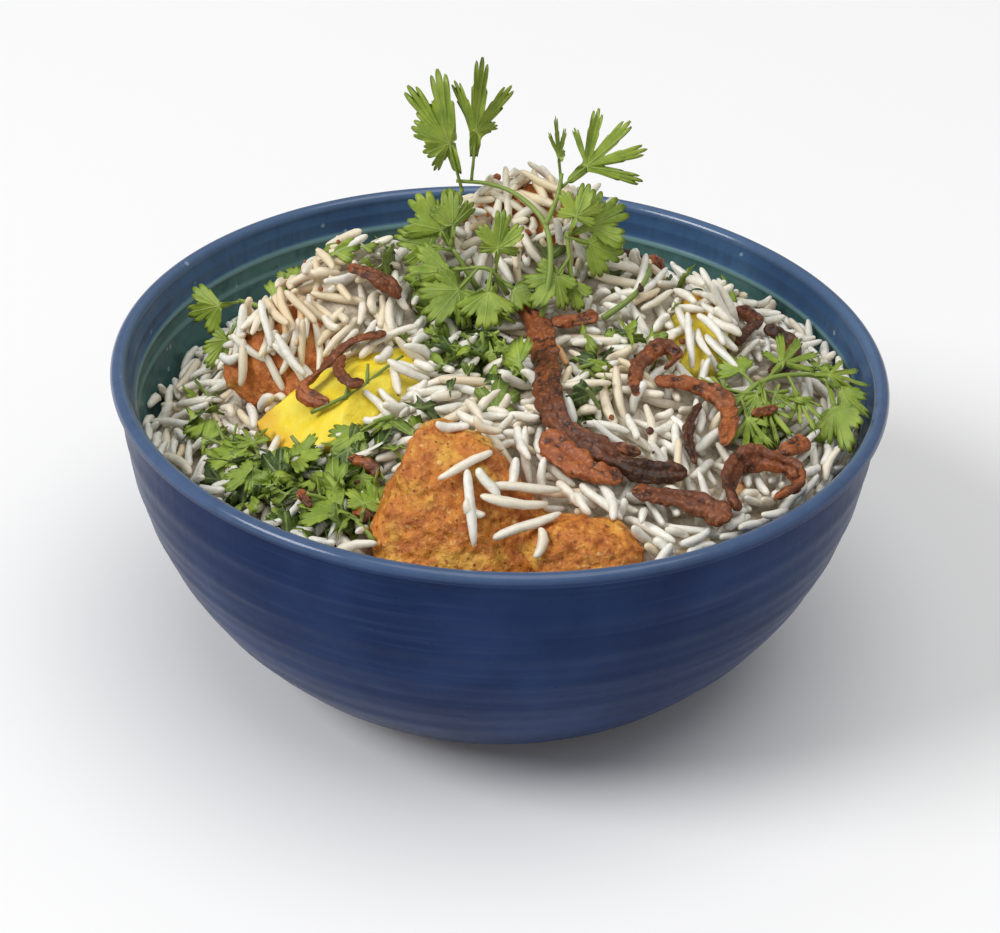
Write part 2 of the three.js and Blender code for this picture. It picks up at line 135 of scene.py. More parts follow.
class Finish(Net):
    """A material on the Principled shader, with its patterns laid out in millimetres."""

    def __init__(self, name, roughness=0.5, **constants):
        self.material = bpy.data.materials.new(name)
        self.material.use_nodes = True
        super().__init__(self.material.node_tree)
        self.shader = self.tree.nodes["Principled BSDF"]
        self.shader.inputs["Roughness"].default_value = roughness
        for key, value in constants.items():
            self.feed(self.shader.inputs[key.replace("_", " ").title().replace("Ior", "IOR")], value)
        self.place = self.node("ShaderNodeTexCoord", out="Object")

    def attribute(self, name, out="Fac"):
        return self.node("ShaderNodeAttribute", {"attribute_name": name}, out=out)

    def split(self, vector, axis):
        return self.node("ShaderNodeSeparateXYZ", None, {0: vector}, out=axis)

    def noise(self, size, detail=2.0, roughness=0.5, stretch=None):
        """Cloudy noise from 0 to 1 whose swells are about size millimetres across."""
        at = self.place
        if stretch:
            at = self.node("ShaderNodeVectorMath", {"operation": "MULTIPLY"}, {0: at, 1: stretch})
        sockets = {"Vector": at, "Scale": 1 / (size * MM), "Detail": detail, "Roughness": roughness}
        return self.node("ShaderNodeTexNoise", None, sockets)

    def specks(self, size, share, at=None):
        """Small round specks on a share of the cells, each cell size millimetres across."""
        sockets = {"Vector": at or self.place, "Scale": 1 / (size * MM)}
        near = self.node("ShaderNodeTexVoronoi", None, sockets, out="Distance")
        pick = self.split(self.node("ShaderNodeTexVoronoi", None, sockets, out="Color"), 0)
        return pick.maths("LESS_THAN", pick, share) * near.rise(0.32, 0.16)

    def mix(self, share, under, over):
        sockets = {0: share, 6: under, 7: over}
        return self.node("ShaderNodeMix", {"data_type": "RGBA"}, sockets, out=2)

    def relief(self, height, depth):
        """Relief from a height between 0 and 1, depth millimetres deep."""
        sockets = {"Height": height, "Distance": depth * MM, "Strength": 1.0}
        self.feed(self.shader.inputs["Normal"], self.node("ShaderNodeBump", None, sockets))

    def done(self, colour, roughness=None):
        self.feed(self.shader.inputs["Base Color"], colour)
        if roughness:
            self.feed(self.shader.inputs["Roughness"], roughness)
        return self.material


def paint(red, green, blue):
    """A colour given as it looks on a screen, 0 to 255, turned into linear light."""
    return tuple(float(((c / 255 + 0.055) / 1.055) ** 2.4) for c in (red, green, blue))


def placed(name, data):
    """A new object in the scene."""
    thing = bpy.data.objects.new(name, data)
    bpy.context.scene.collection.objects.link(thing)
    return thing


def mark(mesh, name, values):
    """Gives each point of a mesh a named number or vector, which its finish or a node tree reads."""
    values = np.asarray(values)
    if values.ndim == 2:
        mesh.attributes.new(name, "FLOAT_VECTOR", "POINT").data.foreach_set("vector", values.ravel())
    else:
        kind = "INT" if values.dtype.kind == "i" else "FLOAT"
        mesh.attributes.new(name, kind, "POINT").data.foreach_set("value", values.tolist())


def piece_from(name, points, faces, finish, slot, marks=None):
    """A smooth mesh object from points in millimetres. Marks are named values, one for each point."""
    mesh = bpy.data.meshes.new(name)
    mesh.from_pydata((np.asarray(points) * MM).tolist(), [], [list(map(int, f)) for f in faces])
    mesh.validate()
    mesh.shade_smooth()
    for key, values in (marks or {}).items():
        mark(mesh, key, np.asarray(values, float))
    piece = placed(name, mesh)
    if finish:
        mesh.materials.append(finish)
    if slot:
        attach(piece, "root")
    return piece


def skin_faces(rings, around):
    """Faces of a closed skin over rings of points, with a middle point for each end after them."""
    faces = []
    for ring in range(rings - 1):
        for i in range(around):
            a = ring * around + i
            b = ring * around + (i + 1) % around
            faces.append((a, b, b + around, a + around))
    last = (rings - 1) * around
    for i in range(around):
        following = (i + 1) % around
        faces.append((rings * around, following, i))
        faces.append((rings * around + 1, last + i, last + following))
    return faces


def turned(line, around):
    """Points and faces of a line of (radius, height) points turned about the upright, both ends on it."""
    line = np.asarray(line, float)
    angles = 2 * np.pi * np.arange(around) / around
    inner = line[1:-1]
    rings = np.stack(
        [
            np.outer(inner[:, 0], np.cos(angles)),
            np.outer(inner[:, 0], np.sin(angles)),
            np.repeat(inner[:, 1:], around, axis=1),
        ],
        axis=-1,
    )
    points = np.vstack([rings.reshape(-1, 3), [0, 0, line[0, 1]], [0, 0, line[-1, 1]]])
    return points, skin_faces(len(inner), around)


RIM_RADIUS, _, BOWL_HEIGHT = np.array(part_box("bowl")[1]) / MM
LIP = 1.8  # radius of the lip's round section
LIP_LEVEL = BOWL_HEIGHT - LIP
WALL_RADIUS = RIM_RADIUS - 2.15
INSIDE_RADIUS = RIM_RADIUS - 5.1
OUTSIDE_DEPTH = 87.75  # how far under the lip the curve of each side of the wall would close
INSIDE_DEPTH = 79.5
FULL_DOWN = 2.2  # powers of the walls' curve: a true ellipse has 2 and 2
FULL_OUT = 1.92
FOOT_RADIUS = 48
FOOT_HEIGHT = 4
FLOOR = 8
RIDGE = BOWL_HEIGHT - 8.5  # level of the ridge inside, where the blue band ends


def curve_of_wall(radius, full_depth, level):
    """The wall's radius at a level: close to an ellipse, and a little fuller."""
    depth = np.clip(LIP_LEVEL - level, 0, None)
    return radius * (1 - (depth / full_depth) ** FULL_DOWN) ** (1 / FULL_OUT)


def bowl_line():
    """The bowl's section from the middle of the foot, up the outside, over the lip and down the inside."""
    line = [(0, 1.6), (FOOT_RADIUS - 8, 1.6), (FOOT_RADIUS - 5.5, 1.2), (FOOT_RADIUS - 4.6, 0.3)]
    line += [(FOOT_RADIUS - 4, 0), (FOOT_RADIUS - 1.2, 0), (FOOT_RADIUS - 0.4, 0.3)]
    line += [(FOOT_RADIUS, 1.1), (FOOT_RADIUS, 2.2), (FOOT_RADIUS + 0.6, 3.1), (FOOT_RADIUS + 2.6, 3.8)]
    for level in np.linspace(FOOT_HEIGHT + 0.2, LIP_LEVEL - 2.2, 96):
        rings = 0.05 * np.sin(level / 0.82 + 1.4 * np.sin(level / 7)) + 0.09 * np.sin(level / 1.7 + 2)
        fade = np.clip((level - FOOT_HEIGHT) / 8, 0, 1) * np.clip((LIP_LEVEL - level) / 5, 0, 1)
        line.append((curve_of_wall(WALL_RADIUS, OUTSIDE_DEPTH, level) + rings * fade, level))
    line.append((WALL_RADIUS + 0.25, LIP_LEVEL - 1.5))
    for angle in np.radians(np.linspace(-30, 200, 18)):
        line.append((RIM_RADIUS - LIP + LIP * np.cos(angle), LIP_LEVEL + LIP * np.sin(angle)))
    for level in np.linspace(LIP_LEVEL - 2.2, FLOOR + 4, 90):
        ridge = 0.75 * np.exp(-(((level - RIDGE) / 0.7) ** 2))
        band = 0.35 * np.exp(-(((level - RIDGE - 3.4) / 2.4) ** 2))
        ridge += 0.4 * np.exp(-(((level - RIDGE + 5) / 0.6) ** 2))
        rings = 0.06 * np.sin(level / 0.9 + np.sin(level / 5))
        line.append((curve_of_wall(INSIDE_RADIUS, INSIDE_DEPTH, level) - ridge + band + rings, level))
    corner = line[-1][0]
    for share in np.linspace(0, 1, 8)[1:]:
        line.append((corner - 6 * share ** 1.4, FLOOR + 4 * (1 - share) ** 1.7))
    line += [(corner * 0.6, FLOOR), (corner * 0.2, FLOOR), (0, FLOOR)]
    return line


AROUND = 256  # points in each ring of the bowl
line = np.array(bowl_line())
points, faces = turned(line, AROUND)
highest = int(np.argmax(line[:, 1]))
side = np.repeat((np.arange(1, len(line) - 1) > highest).astype(float), AROUND)
side = np.append(side, [0, 1])  # 0 outside the highest ring and 1 inside it
angle = np.arctan2(points[:, 1], points[:, 0])
points[:, 2] += np.clip(points[:, 2] / BOWL_HEIGHT, 0, 1) ** 3 * (0.22 * np.sin(2 * angle + 0.6) - 0.1)
points[:, :2] *= (1 + 0.0012 * np.sin(3 * angle + 1) * np.clip(points[:, 2] / 30, 0, 1))[:, None]

glaze = Finish("navy and teal glaze", 0.22, specular_ior_level=0.08, ior=1.4, coat_roughness=0.14)
inside = glaze.attribute("side")
level = glaze.split(glaze.place, 2) / MM
cloud = glaze.noise(26, 3)
mottle = glaze.noise(3.5, 3)
streak = glaze.noise(2.2, 2, stretch=(1, 1, 0.1))
rings = glaze.noise(1.6, 2, stretch=(0.04, 0.04, 1))
outside = glaze.mix(cloud.rise(0.35, 0.7), paint(25, 42, 80), paint(36, 56, 98))
outside = glaze.mix(rings.rise(0.5, 0.75) * 0.16, outside, paint(70, 88, 126))
outside = glaze.mix(glaze.specks(1.5, 0.25) * 0.25, outside, paint(20, 30, 56))
band = glaze.mix(cloud.rise(0.3, 0.7), paint(50, 78, 116), paint(64, 96, 132))
band = glaze.mix(streak.rise(0.5, 0.72) * 0.3, band, paint(44, 66, 96))
teal = glaze.mix(cloud.rise(0.3, 0.7), paint(60, 96, 94), paint(80, 118, 116))
teal = glaze.mix(streak.rise(0.48, 0.7) * 0.6, teal, paint(84, 116, 124))
teal = glaze.mix(mottle.rise(0.55, 0.7) * 0.4, teal, paint(44, 66, 74))
edge = level + (streak - 0.5) * 3
within = glaze.mix(edge.rise(RIDGE - 0.8, RIDGE + 0.8), teal, band)
# Painted highlight: a lighter line along each of the two ridges inside, where light catches them.
for ridge_level, ridge_highlight in ((RIDGE, 0.8), (RIDGE - 5, 0.6)):
    off = abs(level - ridge_level)
    within = glaze.mix((1 - off.rise(0.2, 1.0)) * ridge_highlight, within, paint(112, 148, 150))
colour = glaze.mix(inside, outside, within)
on_lip = level.rise(BOWL_HEIGHT - 2.6, BOWL_HEIGHT - 0.6)
colour = glaze.mix(on_lip * (0.4 + 0.4 * mottle), colour, paint(84, 108, 142))
colour = glaze.mix(glaze.specks(2.6, 0.06) * inside * 0.7, colour, paint(150, 176, 186))
bare = (1 - level.rise(2.4, 3.2)) * (1 - inside)
clay = glaze.mix(mottle, paint(150, 132, 112), paint(178, 160, 138))
colour = glaze.mix(bare, colour, clay)
glaze.relief(mottle * 0.5 + streak * 0.5, 0.12)
glaze.feed(glaze.shader.inputs["Coat Weight"], on_lip * 0.7 + inside * 0.25)
glaze.done(colour, 0.24 + 0.12 * mottle + 0.5 * bare)

bowl = piece_from("stoneware_bowl", points, faces, glaze.material, "stoneware", {"side": side})
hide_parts("bowl")


# ---------------------------------------------------------------------------------------------------
# Potato. Two chunks cut with a knife and boiled in turmeric until they are bright yellow, with the knife's
# flat faces gone a little soft and the sauce's orange left along an edge.


cad = frame["nodes"]


def unevenness(points, wave, seed):
    """Smooth noise from -1 to 1, with swells about one wave apart."""
    cell = np.asarray(points, float) / wave
    low = np.floor(cell).astype(np.int64)
    part = cell - low
    part = part * part * (3 - 2 * part)
    total = np.zeros(len(cell))
    for corner in itertools.product((0, 1), repeat=3):
        key = (low + corner) @ np.array([73856093, 19349663, 83492791]) + seed * 83492791
        key = (key ^ (key >> 13)) * 1274126177 & 0x7FFFFFFF
        value = ((key ^ (key >> 16)) & 0xFFFF) / 32767.5 - 1
        total += value * np.prod(np.where(corner, part, 1 - part), axis=1)
    return total


def points_of(mesh):
    flat = np.empty(len(mesh.vertices) * 3)
    mesh.vertices.foreach_get("co", flat)
    return flat.reshape(-1, 3) / MM


def normals_of(mesh):
    flat = np.empty(len(mesh.vertices) * 3)
    mesh.vertices.foreach_get("normal", flat)
    return flat.reshape(-1, 3)


def move_points(mesh, points):
    mesh.vertices.foreach_set("co", (points * MM).ravel())
    mesh.update()


def modelled(name, node, grain, soften):
    """A fine mesh over a CAD node's shape: remeshed to its grain in millimetres, its edges softened."""
    mesh = cad[node].data.copy()
    shape = bmesh.new()
    shape.from_mesh(mesh)
    bmesh.ops.remove_doubles(shape, verts=shape.verts, dist=0.01 * MM)
    shape.to_mesh(mesh)
    shape.free()
    mesh.materials.clear()
    piece = placed(name, mesh)
    remesh = piece.modifiers.new("fine", "REMESH")
    remesh.mode = "VOXEL"
    remesh.voxel_size = grain * MM
    smooth = piece.modifiers.new("soft", "SMOOTH")
    smooth.iterations = soften
    whole = piece.evaluated_get(bpy.context.evaluated_depsgraph_get())
    piece.data = bpy.data.meshes.new_from_object(whole)
    piece.modifiers.clear()
    piece.data.name = name
    piece.data.shade_smooth()
    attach(piece, "root")
    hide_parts(node)
    return piece


turmeric = Finish(
    "turmeric potato", 0.42, specular_ior_level=0.35,
    subsurface_weight=0.12, subsurface_radius=(2, 1.5, 0.6), subsurface_scale=0.001,
)
blotch = turmeric.noise(7, 3)
fine = turmeric.noise(0.9, 3)
height = turmeric.split(turmeric.place, 2) / MM
sauce = turmeric.attribute("sauce")
yellow = turmeric.mix(blotch.rise(0.3, 0.7), paint(240, 212, 44), paint(246, 228, 84))
yellow = turmeric.mix(fine.rise(0.5, 0.8) * 0.4, yellow, paint(246, 234, 122))
stained = turmeric.mix(blotch, paint(206, 130, 26), paint(222, 160, 36))
yellow = turmeric.mix((sauce + (blotch - 0.5) * 0.8).rise(0.75, 1.2) * 0.8, yellow, stained)
turmeric.relief(fine * 0.6 + blotch * 0.4, 0.35)
turmeric.done(yellow, 0.34 + 0.22 * blotch)

for number, node in enumerate(("potato_left", "potato_right")):
    chunk = modelled(f"potato_chunk_{number + 1}", node, 0.55, 5)
    at = points_of(chunk.data)
    bump = 0.35 * unevenness(at, 6, 3) + 0.18 * unevenness(at, 1.9, 5) + 0.07 * unevenness(at, 0.8, 8)
    normal = normals_of(chunk.data)
    move_points(chunk.data, at + normal * bump[:, None])
    under_top = at[:, 2].max() - at[:, 2]
    taken_up = np.clip((under_top - 3) / 9, 0, 1)
    if node == "potato_right":  # this one took the sauce along its top edge
        taken_up = np.clip(1.7 - under_top / 3, 0, 1.3)
    mark(chunk.data, "sauce", taken_up)
    chunk.data.materials.append(turmeric.material)


# ---------------------------------------------------------------------------------------------------
# Chicken. Boned pieces cooked in the spice paste: a rough, oily orange-brown crust with yellow turmeric
# patches and dark specks of scorched spice. The front piece leans on the bowl's wall.

crust = Finish(
    "spiced chicken", 0.4,
    subsurface_weight=0.08, subsurface_radius=(1.5, 0.6, 0.3), subsurface_scale=0.001,
)
patches = crust.noise(9, 4, 0.6)
grit = crust.noise(1.1, 4, 0.65)
broad = crust.noise(3.2, 3)
red = crust.attribute("red")
brown = crust.mix(broad.rise(0.3, 0.72), paint(176, 94, 28), paint(220, 138, 46))
brown = crust.mix(patches.rise(0.5, 0.66) * 0.85, brown, paint(230, 176, 70))
brown = crust.mix(grit.rise(0.54, 0.7) * 0.6, brown, paint(244, 196, 112))
brown = crust.mix(grit.rise(0.46, 0.32) * 0.8, brown, paint(132, 58, 20))
brown = crust.mix(crust.specks(1.3, 0.16) * 0.75, brown, paint(92, 38, 14))
aside = crust.node("ShaderNodeVectorMath", {"operation": "ADD"}, {0: crust.place, 1: (0.05, 0.02, 0.01)})
brown = crust.mix(crust.specks(2.0, 0.12, aside) * 0.6, brown, paint(248, 214, 140))
reddish = crust.mix(broad, paint(164, 76, 30), paint(222, 134, 66))
colour = crust.mix(red * broad.rise(0.25, 0.6), brown, reddish)
crust.relief(grit * 0.8 + broad * 0.2, 0.85)
crust.done(colour, 0.3 + 0.3 * grit)

# The size of each piece's mesh, and how red the paste on it is.
CHICKEN = {"chicken_front": (0.5, 0.0), "chicken_left": (0.6, 0.7), "chicken_back": (0.6, 0.6)}
CRUST_SWELLS = ((9, 0.9, 11), (4, 0.6, 12), (1.9, 0.42, 13), (1.0, 0.36, 14))  # wave, depth and seed
for node, (grain, redness) in CHICKEN.items():
    meat = modelled(node + "_piece", node, grain, 3)
    for wave, depth, seed in CRUST_SWELLS:
        at = points_of(meat.data)
        swell = unevenness(at, wave, seed)
        move_points(meat.data, at + normals_of(meat.data) * (depth * swell - 0.25 * depth)[:, None])
    mark(meat.data, "red", np.clip(redness + 0.25 * unevenness(points_of(meat.data), 8, 15), 0, 1))
    meat.data.materials.append(crust.material)


# ---------------------------------------------------------------------------------------------------
# Rice. Long basmati grains, boiled until they swell and curve, then forked loose so that they lie across
# each other at all angles. A core just under the top holds the heap up, and the grains lie on it.

CELL = 0.5  # spacing of the map of heights in millimetres
REACH = 90  # how far the map goes from the middle, each way
CELLS = int(2 * REACH / CELL) + 1
NOTHING = -1.0  # the height where a ray meets nothing


def rays_along(pieces, level=200, towards=-1):
    """The first height of some objects that upright rays meet over each cell, from above or from below."""
    points, faces = [], []
    for piece in pieces:
        first = len(points)
        points += [v.co / MM for v in piece.data.vertices]
        faces += [[first + i for i in face.vertices] for face in piece.data.polygons]
    tree = BVHTree.FromPolygons(points, faces)
    top = np.full((CELLS, CELLS), NOTHING)
    for i in range(CELLS):
        for j in range(CELLS):
            x, y = i * CELL - REACH, j * CELL - REACH
            if x * x + y * y < (REACH - 2) ** 2:
                hit = tree.ray_cast(Vector((x, y, level)), Vector((0, 0, towards)))[0]
                if hit:
                    top[i, j] = hit.z
    return top


def cell_at(x, y):
    """The cell of the map at places x, y."""
    return tuple(
        np.clip(np.rint((np.asarray(a) + REACH) / CELL).astype(int), 0, CELLS - 1) for a in (x, y)
    )


def over(top, x, y):
    """The height of a map at places x, y."""
    return top[cell_at(x, y)]


rice_goal = rays_along([cad["rice"]])
onion_nodes = [node for name, node in cad.items() if name.startswith("onion")]
OPEN_SKY = 999
underside = rays_along(onion_nodes, 0, 1)  # the onion lies over the grains, so none comes up through it
underside[underside == NOTHING] = OPEN_SKY
CORE_DEPTH = 3.0  # how far the core lies under the heap's top
CORE_CLEARANCE = 0.8  # between the core and the bowl's wall
CORE_RINGS = 64
CORE_AROUND = 200  # points in each ring of the core
GAP_LEVEL = 66  # level of the rice in the gap between the front piece of chicken and the wall
GAP_Y = -66  # where that gap starts
GAP_X = 1  # its middle
GAP_HALF = 31  # half its width


def rice_core():
    """The heap a little under its top, as rings out to the bowl's wall and down to its floor."""
    angles = 2 * np.pi * np.arange(CORE_AROUND) / CORE_AROUND
    line = []
    for ring in range(1, CORE_RINGS + 1):
        radius = (INSIDE_RADIUS - CORE_CLEARANCE) * ring / CORE_RINGS
        x, y = radius * np.cos(angles), radius * np.sin(angles)
        held = min(1, (INSIDE_RADIUS - 3) / radius)  # the outermost rings take the height just inside them
        z = over(rice_goal, x * held, y * held) - CORE_DEPTH
        z = np.where((y < GAP_Y) & (np.abs(x - GAP_X) < GAP_HALF - 3), np.minimum(z, GAP_LEVEL - 2), z)
        z = z - 2.2 * np.clip((radius - INSIDE_RADIUS + 5.5) / 4, 0, 1)  # and dips to leave grains room
        at = np.stack([x, y, z], axis=1)
        z = z + 0.9 * unevenness(at, 3.4, 21) + 0.5 * unevenness(at, 1.6, 22)
        line.append(np.stack([x, y, np.maximum(z, FLOOR + 3)], axis=1))
    for level in np.linspace(50, FLOOR + 5, 8):
        radius = curve_of_wall(INSIDE_RADIUS, INSIDE_DEPTH, level) - CORE_CLEARANCE
        line.append(np.stack([radius * np.cos(angles), radius * np.sin(angles), 0 * angles + level], 1))
    base = line[-1] * (0.7, 0.7, 1) - (0, 0, 3.6)
    line.append(base)
    points = np.vstack(line[::-1])
    middle = over(rice_goal, 0, 0) - CORE_DEPTH
    points = np.vstack([points, [0, 0, base[0, 2]], [0, 0, middle]])
    return points, skin_faces(len(line), CORE_AROUND)


# The core's colour is painted shade: rice greyer and darker than the grains, for the gaps between them.
packed = Finish("packed rice", 0.6)
clump = packed.noise(5, 3)
threads = packed.noise(1.6, 3)
pale = packed.mix(clump.rise(0.3, 0.7), paint(198, 186, 164), paint(220, 212, 196))
# Painted shade: darker still in the hollows of the core's relief.
pale = packed.mix(threads.rise(0.5, 0.3) * 0.5, pale, paint(168, 144, 108))
packed.relief(threads, 0.9)
packed.done(pale, 0.5 + 0.2 * threads)
core = piece_from("rice_core", *rice_core(), packed.material, "rice")

CHUNKS = ["potato_chunk_1", "potato_chunk_2"] + [node + "_piece" for node in CHICKEN]
standing = rays_along([bpy.data.objects[name] for name in CHUNKS])
heights = np.maximum(rays_along([core, bowl]), standing)

boiled = Finish(
    "boiled rice", 0.38,
    subsurface_weight=0.22, subsurface_radius=(1.6, 1.3, 1.0), subsurface_scale=0.001,
)
tone = boiled.attribute("tone")
along = boiled.attribute("along")
milky = boiled.noise(1.3, 2)
white = boiled.mix(milky.rise(0.3, 0.7), paint(232, 228, 215), paint(245, 242, 232))
warm = boiled.mix(milky, paint(228, 208, 172), paint(238, 222, 190))
grain_colour = boiled.mix(tone.rise(0.0, 0.55), white, warm)
grain_colour = boiled.mix(tone.rise(0.6, 1.0) * (0.6 + 0.4 * milky), grain_colour, paint(222, 158, 92))
ends = abs(along - 0.5).rise(0.4, 0.5)
grain_colour = boiled.mix(ends * 0.25, grain_colour, paint(196, 176, 140))
boiled.relief(boiled.noise(0.5, 2), 0.08)
boiled.done(grain_colour, 0.3 + 0.2 * milky)


def tree_named(name, inputs):
    """A new Geometry Nodes tree with a geometry coming in, named inputs, and a geometry going out."""
    tree = bpy.data.node_groups.new(name, "GeometryNodeTree")
    tree.interface.new_socket("Geometry", in_out="INPUT", socket_type="NodeSocketGeometry")
    for label, kind in inputs.items():
        tree.interface.new_socket(label, in_out="INPUT", socket_type=kind)
    tree.interface.new_socket("Geometry", in_out="OUTPUT", socket_type="NodeSocketGeometry")
    return tree


def worked_out(piece, tree, values):
    """Runs a Geometry Nodes tree on an object and puts the plain mesh that comes out in its place."""
    modifier = piece.modifiers.new(tree.name, "NODES")
    modifier.node_group = tree
    for item in tree.interface.items_tree:
        if item.name in values:
            modifier[item.identifier] = values[item.name]
    bpy.context.view_layer.update()
    whole = piece.evaluated_get(bpy.context.evaluated_depsgraph_get())
    mesh = bpy.data.meshes.new_from_object(whole)
    name = piece.name
    bpy.data.objects.remove(piece)
    return placed(name, mesh)


def rod_tree():
    """Sweeps a round section along a curve, as thick as the curve's radius says."""
    inputs = {"Sides": "NodeSocketInt", "Material": "NodeSocketMaterial"}
    tree = tree_named("rod along a line", inputs)
    net = Net(tree)
    given = {label: net.node("NodeGroupInput", out=label) for label in ("Geometry", "Sides", "Material")}
    radius = net.node("GeometryNodeInputRadius")
    share = net.node("GeometryNodeSplineParameter")
    line = net.node(
        "GeometryNodeStoreNamedAttribute", {"data_type": "FLOAT", "domain": "POINT"},
        {"Geometry": given["Geometry"], "Name": "along", "Value": share},
    )
    circle = {"Resolution": given["Sides"], "Radius": 1.0}
    section = net.node("GeometryNodeCurvePrimitiveCircle", None, circle)
    rod = net.node(
        "GeometryNodeCurveToMesh", None,
        {"Curve": line, "Profile Curve": section, "Scale": radius, "Fill Caps": True},
    )
    rod = net.node("GeometryNodeSetShadeSmooth", None, {"Geometry": rod})
    rod = net.node("GeometryNodeSetMaterial", None, {"Geometry": rod, "Material": given["Material"]})
    net.node("NodeGroupOutput", None, {0: rod})
    return tree


ROD = rod_tree()


def rod(name, lines, radii, sides, material):
    """Round rods along lines of points in millimetres, each point with its radius."""
    curve = bpy.data.curves.new(name, "CURVE")
    curve.dimensions = "3D"
    for line, thick in zip(lines, radii):
        spline = curve.splines.new("POLY")
        spline.points.add(len(line) - 1)
        for point, place, radius in zip(spline.points, line, thick):
            point.co = (*(np.asarray(place) * MM), 1)
            point.radius = radius * MM
    return worked_out(placed(name, curve), ROD, {"Sides": sides, "Material": material})


def scatter_tree():
    """Puts one of several shapes on each point, turned and sized by the point's own values."""
    inputs = {"Shapes": "NodeSocketCollection", "Material": "NodeSocketMaterial"}
    tree = tree_named("shapes on points", inputs)
    net = Net(tree)
    given = {label: net.node("NodeGroupInput", out=label) for label in ("Geometry", "Shapes", "Material")}
    values = {
        label: net.node("GeometryNodeInputNamedAttribute", {"data_type": kind}, {"Name": label})
        for label, kind in (("turn", "FLOAT_VECTOR"), ("size", "FLOAT_VECTOR"), ("kind", "INT"))
    }
    shapes = net.node(
        "GeometryNodeCollectionInfo", None,
        {"Collection": given["Shapes"], "Separate Children": True, "Reset Children": True},
    )
    set_down = net.node(
        "GeometryNodeInstanceOnPoints", None,
        {
            "Points": given["Geometry"], "Instance": shapes, "Pick Instance": True,
            "Instance Index": values["kind"], "Rotation": values["turn"], "Scale": values["size"],
        },
    )
    made = net.node("GeometryNodeRealizeInstances", None, {"Geometry": set_down})
    made = net.node("GeometryNodeSetMaterial", None, {"Geometry": made, "Material": given["Material"]})
    net.node("NodeGroupOutput", None, {0: made})
    return tree


SCATTER = scatter_tree()


def scattered(name, shapes, places, material):
    """One mesh of many small things. Each place has a point, a turn, a size, a kind and a tone."""
    mesh = bpy.data.meshes.new(name)
    mesh.from_pydata([tuple(np.asarray(p["at"]) * MM) for p in places], [], [])
    for key in ("turn", "size", "kind", "tone"):
        mark(mesh, key, [p[key] for p in places])
    made = worked_out(placed(name, mesh), SCATTER, {"Shapes": shapes, "Material": material})
    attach(made, "root")
    return made


def kept_shapes(name, pieces):
    """A collection of shapes to scatter, kept out of the scene."""
    shapes = bpy.data.collections.new(name)
    for piece in pieces:
        for holder in list(piece.users_collection):
            holder.objects.unlink(piece)
        shapes.objects.link(piece)
    return shapes


GRAIN_BENDS = (0.0, 0.03, 0.06, 0.1, -0.045)  # how far a grain's middle stands off its ends, by its length


def grain_mesh(number, bend):
    """A grain one millimetre long and one thick in its middle, which is stretched to size where it lies."""
    stretch = 6.0  # swept this much longer than thick, so that the rounded ends stay square to the sweep
    shares = np.array([0.0, 0.014, 0.05, 0.14, 0.36, 0.64, 0.84, 0.94, 0.985, 1.0])
    swell = np.array([0.18, 0.46, 0.72, 0.94, 1.08, 1.02, 0.88, 0.68, 0.42, 0.16])
    line, radii = [], []
    for share, radius in zip(shares, swell):
        s = 2 * share - 1
        wave = bend * (1 - s * s) + 0.012 * np.sin(3 * s + number)
        line.append((stretch * (share - 0.5), stretch * wave, 0.08 * np.sin(4 * s + 2 * number)))
        radii.append(0.5 * radius * (1 + 0.06 * np.sin(5 * s + number)))
    made = rod(f"grain_{number}", [line], [radii], 6, boiled.material)
    move_points(made.data, points_of(made.data) / (stretch, 1, 1))
    return made


grains = kept_shapes("grains", [grain_mesh(i, bend) for i, bend in enumerate(GRAIN_BENDS)])
rng = np.random.default_rng(11)


def grain_turn(azimuth, pitch):
    """The Euler turn that points a grain along its azimuth, raised by its pitch and rolled at random."""
    roll = rng.uniform(0, 2 * np.pi)
    turn = Matrix.Rotation(azimuth, 3, "Z") @ Matrix.Rotation(-pitch, 3, "Y") @ Matrix.Rotation(roll, 3, "X")
    return tuple(turn.to_euler())


def rest(x, y, azimuth, length, radius):
    """Where a grain dropped at x, y comes to rest: its middle's height and the slope that it lies at."""
    along = np.linspace(-0.46, 0.46, 11) * length
    across = radius * 0.5
    cos, sin = np.cos(azimuth), np.sin(azimuth)
    levels = np.maximum.reduce([
        over(heights, x + along * cos - o * sin, y + along * sin + o * cos) for o in (-across, 0, across)
    ])
    left, right = np.meshgrid(np.arange(6), np.arange(5, 11), indexing="ij")
    span = along[right] - along[left]
    span[span == 0] = 1
    slope = (levels[right] - levels[left]) / span
    middle = levels[left] - slope * along[left]
    best = np.argmax(middle)
    return middle.flat[best] + radius, slope.flat[best]


def settle(x, y, azimuth, length, radius, z, slope):
    """Adds a grain to the map of heights."""
    along = np.arange(-0.48 * length, 0.48 * length, CELL * 0.8)
    for share, lift in ((-0.7, 0.7), (0, 1), (0.7, 0.7)):
        px = x + along * np.cos(azimuth) - share * radius * np.sin(azimuth)
        py = y + along * np.sin(azimuth) + share * radius * np.cos(azimuth)
        np.maximum.at(heights, cell_at(px, py), z + slope * along + lift * radius)


# Where the sauce has stained the grains: middle, reach and strength.
STAINS = ((-46, 0, 20, 0.45), (5, 24, 17, 0.4), (0, -50, 18, 0.22), (34, -20, 20, 0.2))


def warmth(x, y):
    """How stained a grain is: more round the chicken and the onion at the right, and a few anywhere."""
    near = 0.0
    for cx, cy, reach, strength in STAINS:
        near += strength * np.exp(-((x - cx) ** 2 + (y - cy) ** 2) / reach ** 2)
    return float(np.clip(near + rng.normal(0.0, 0.16) + (rng.random() < 0.04) * 0.5, 0, 1))


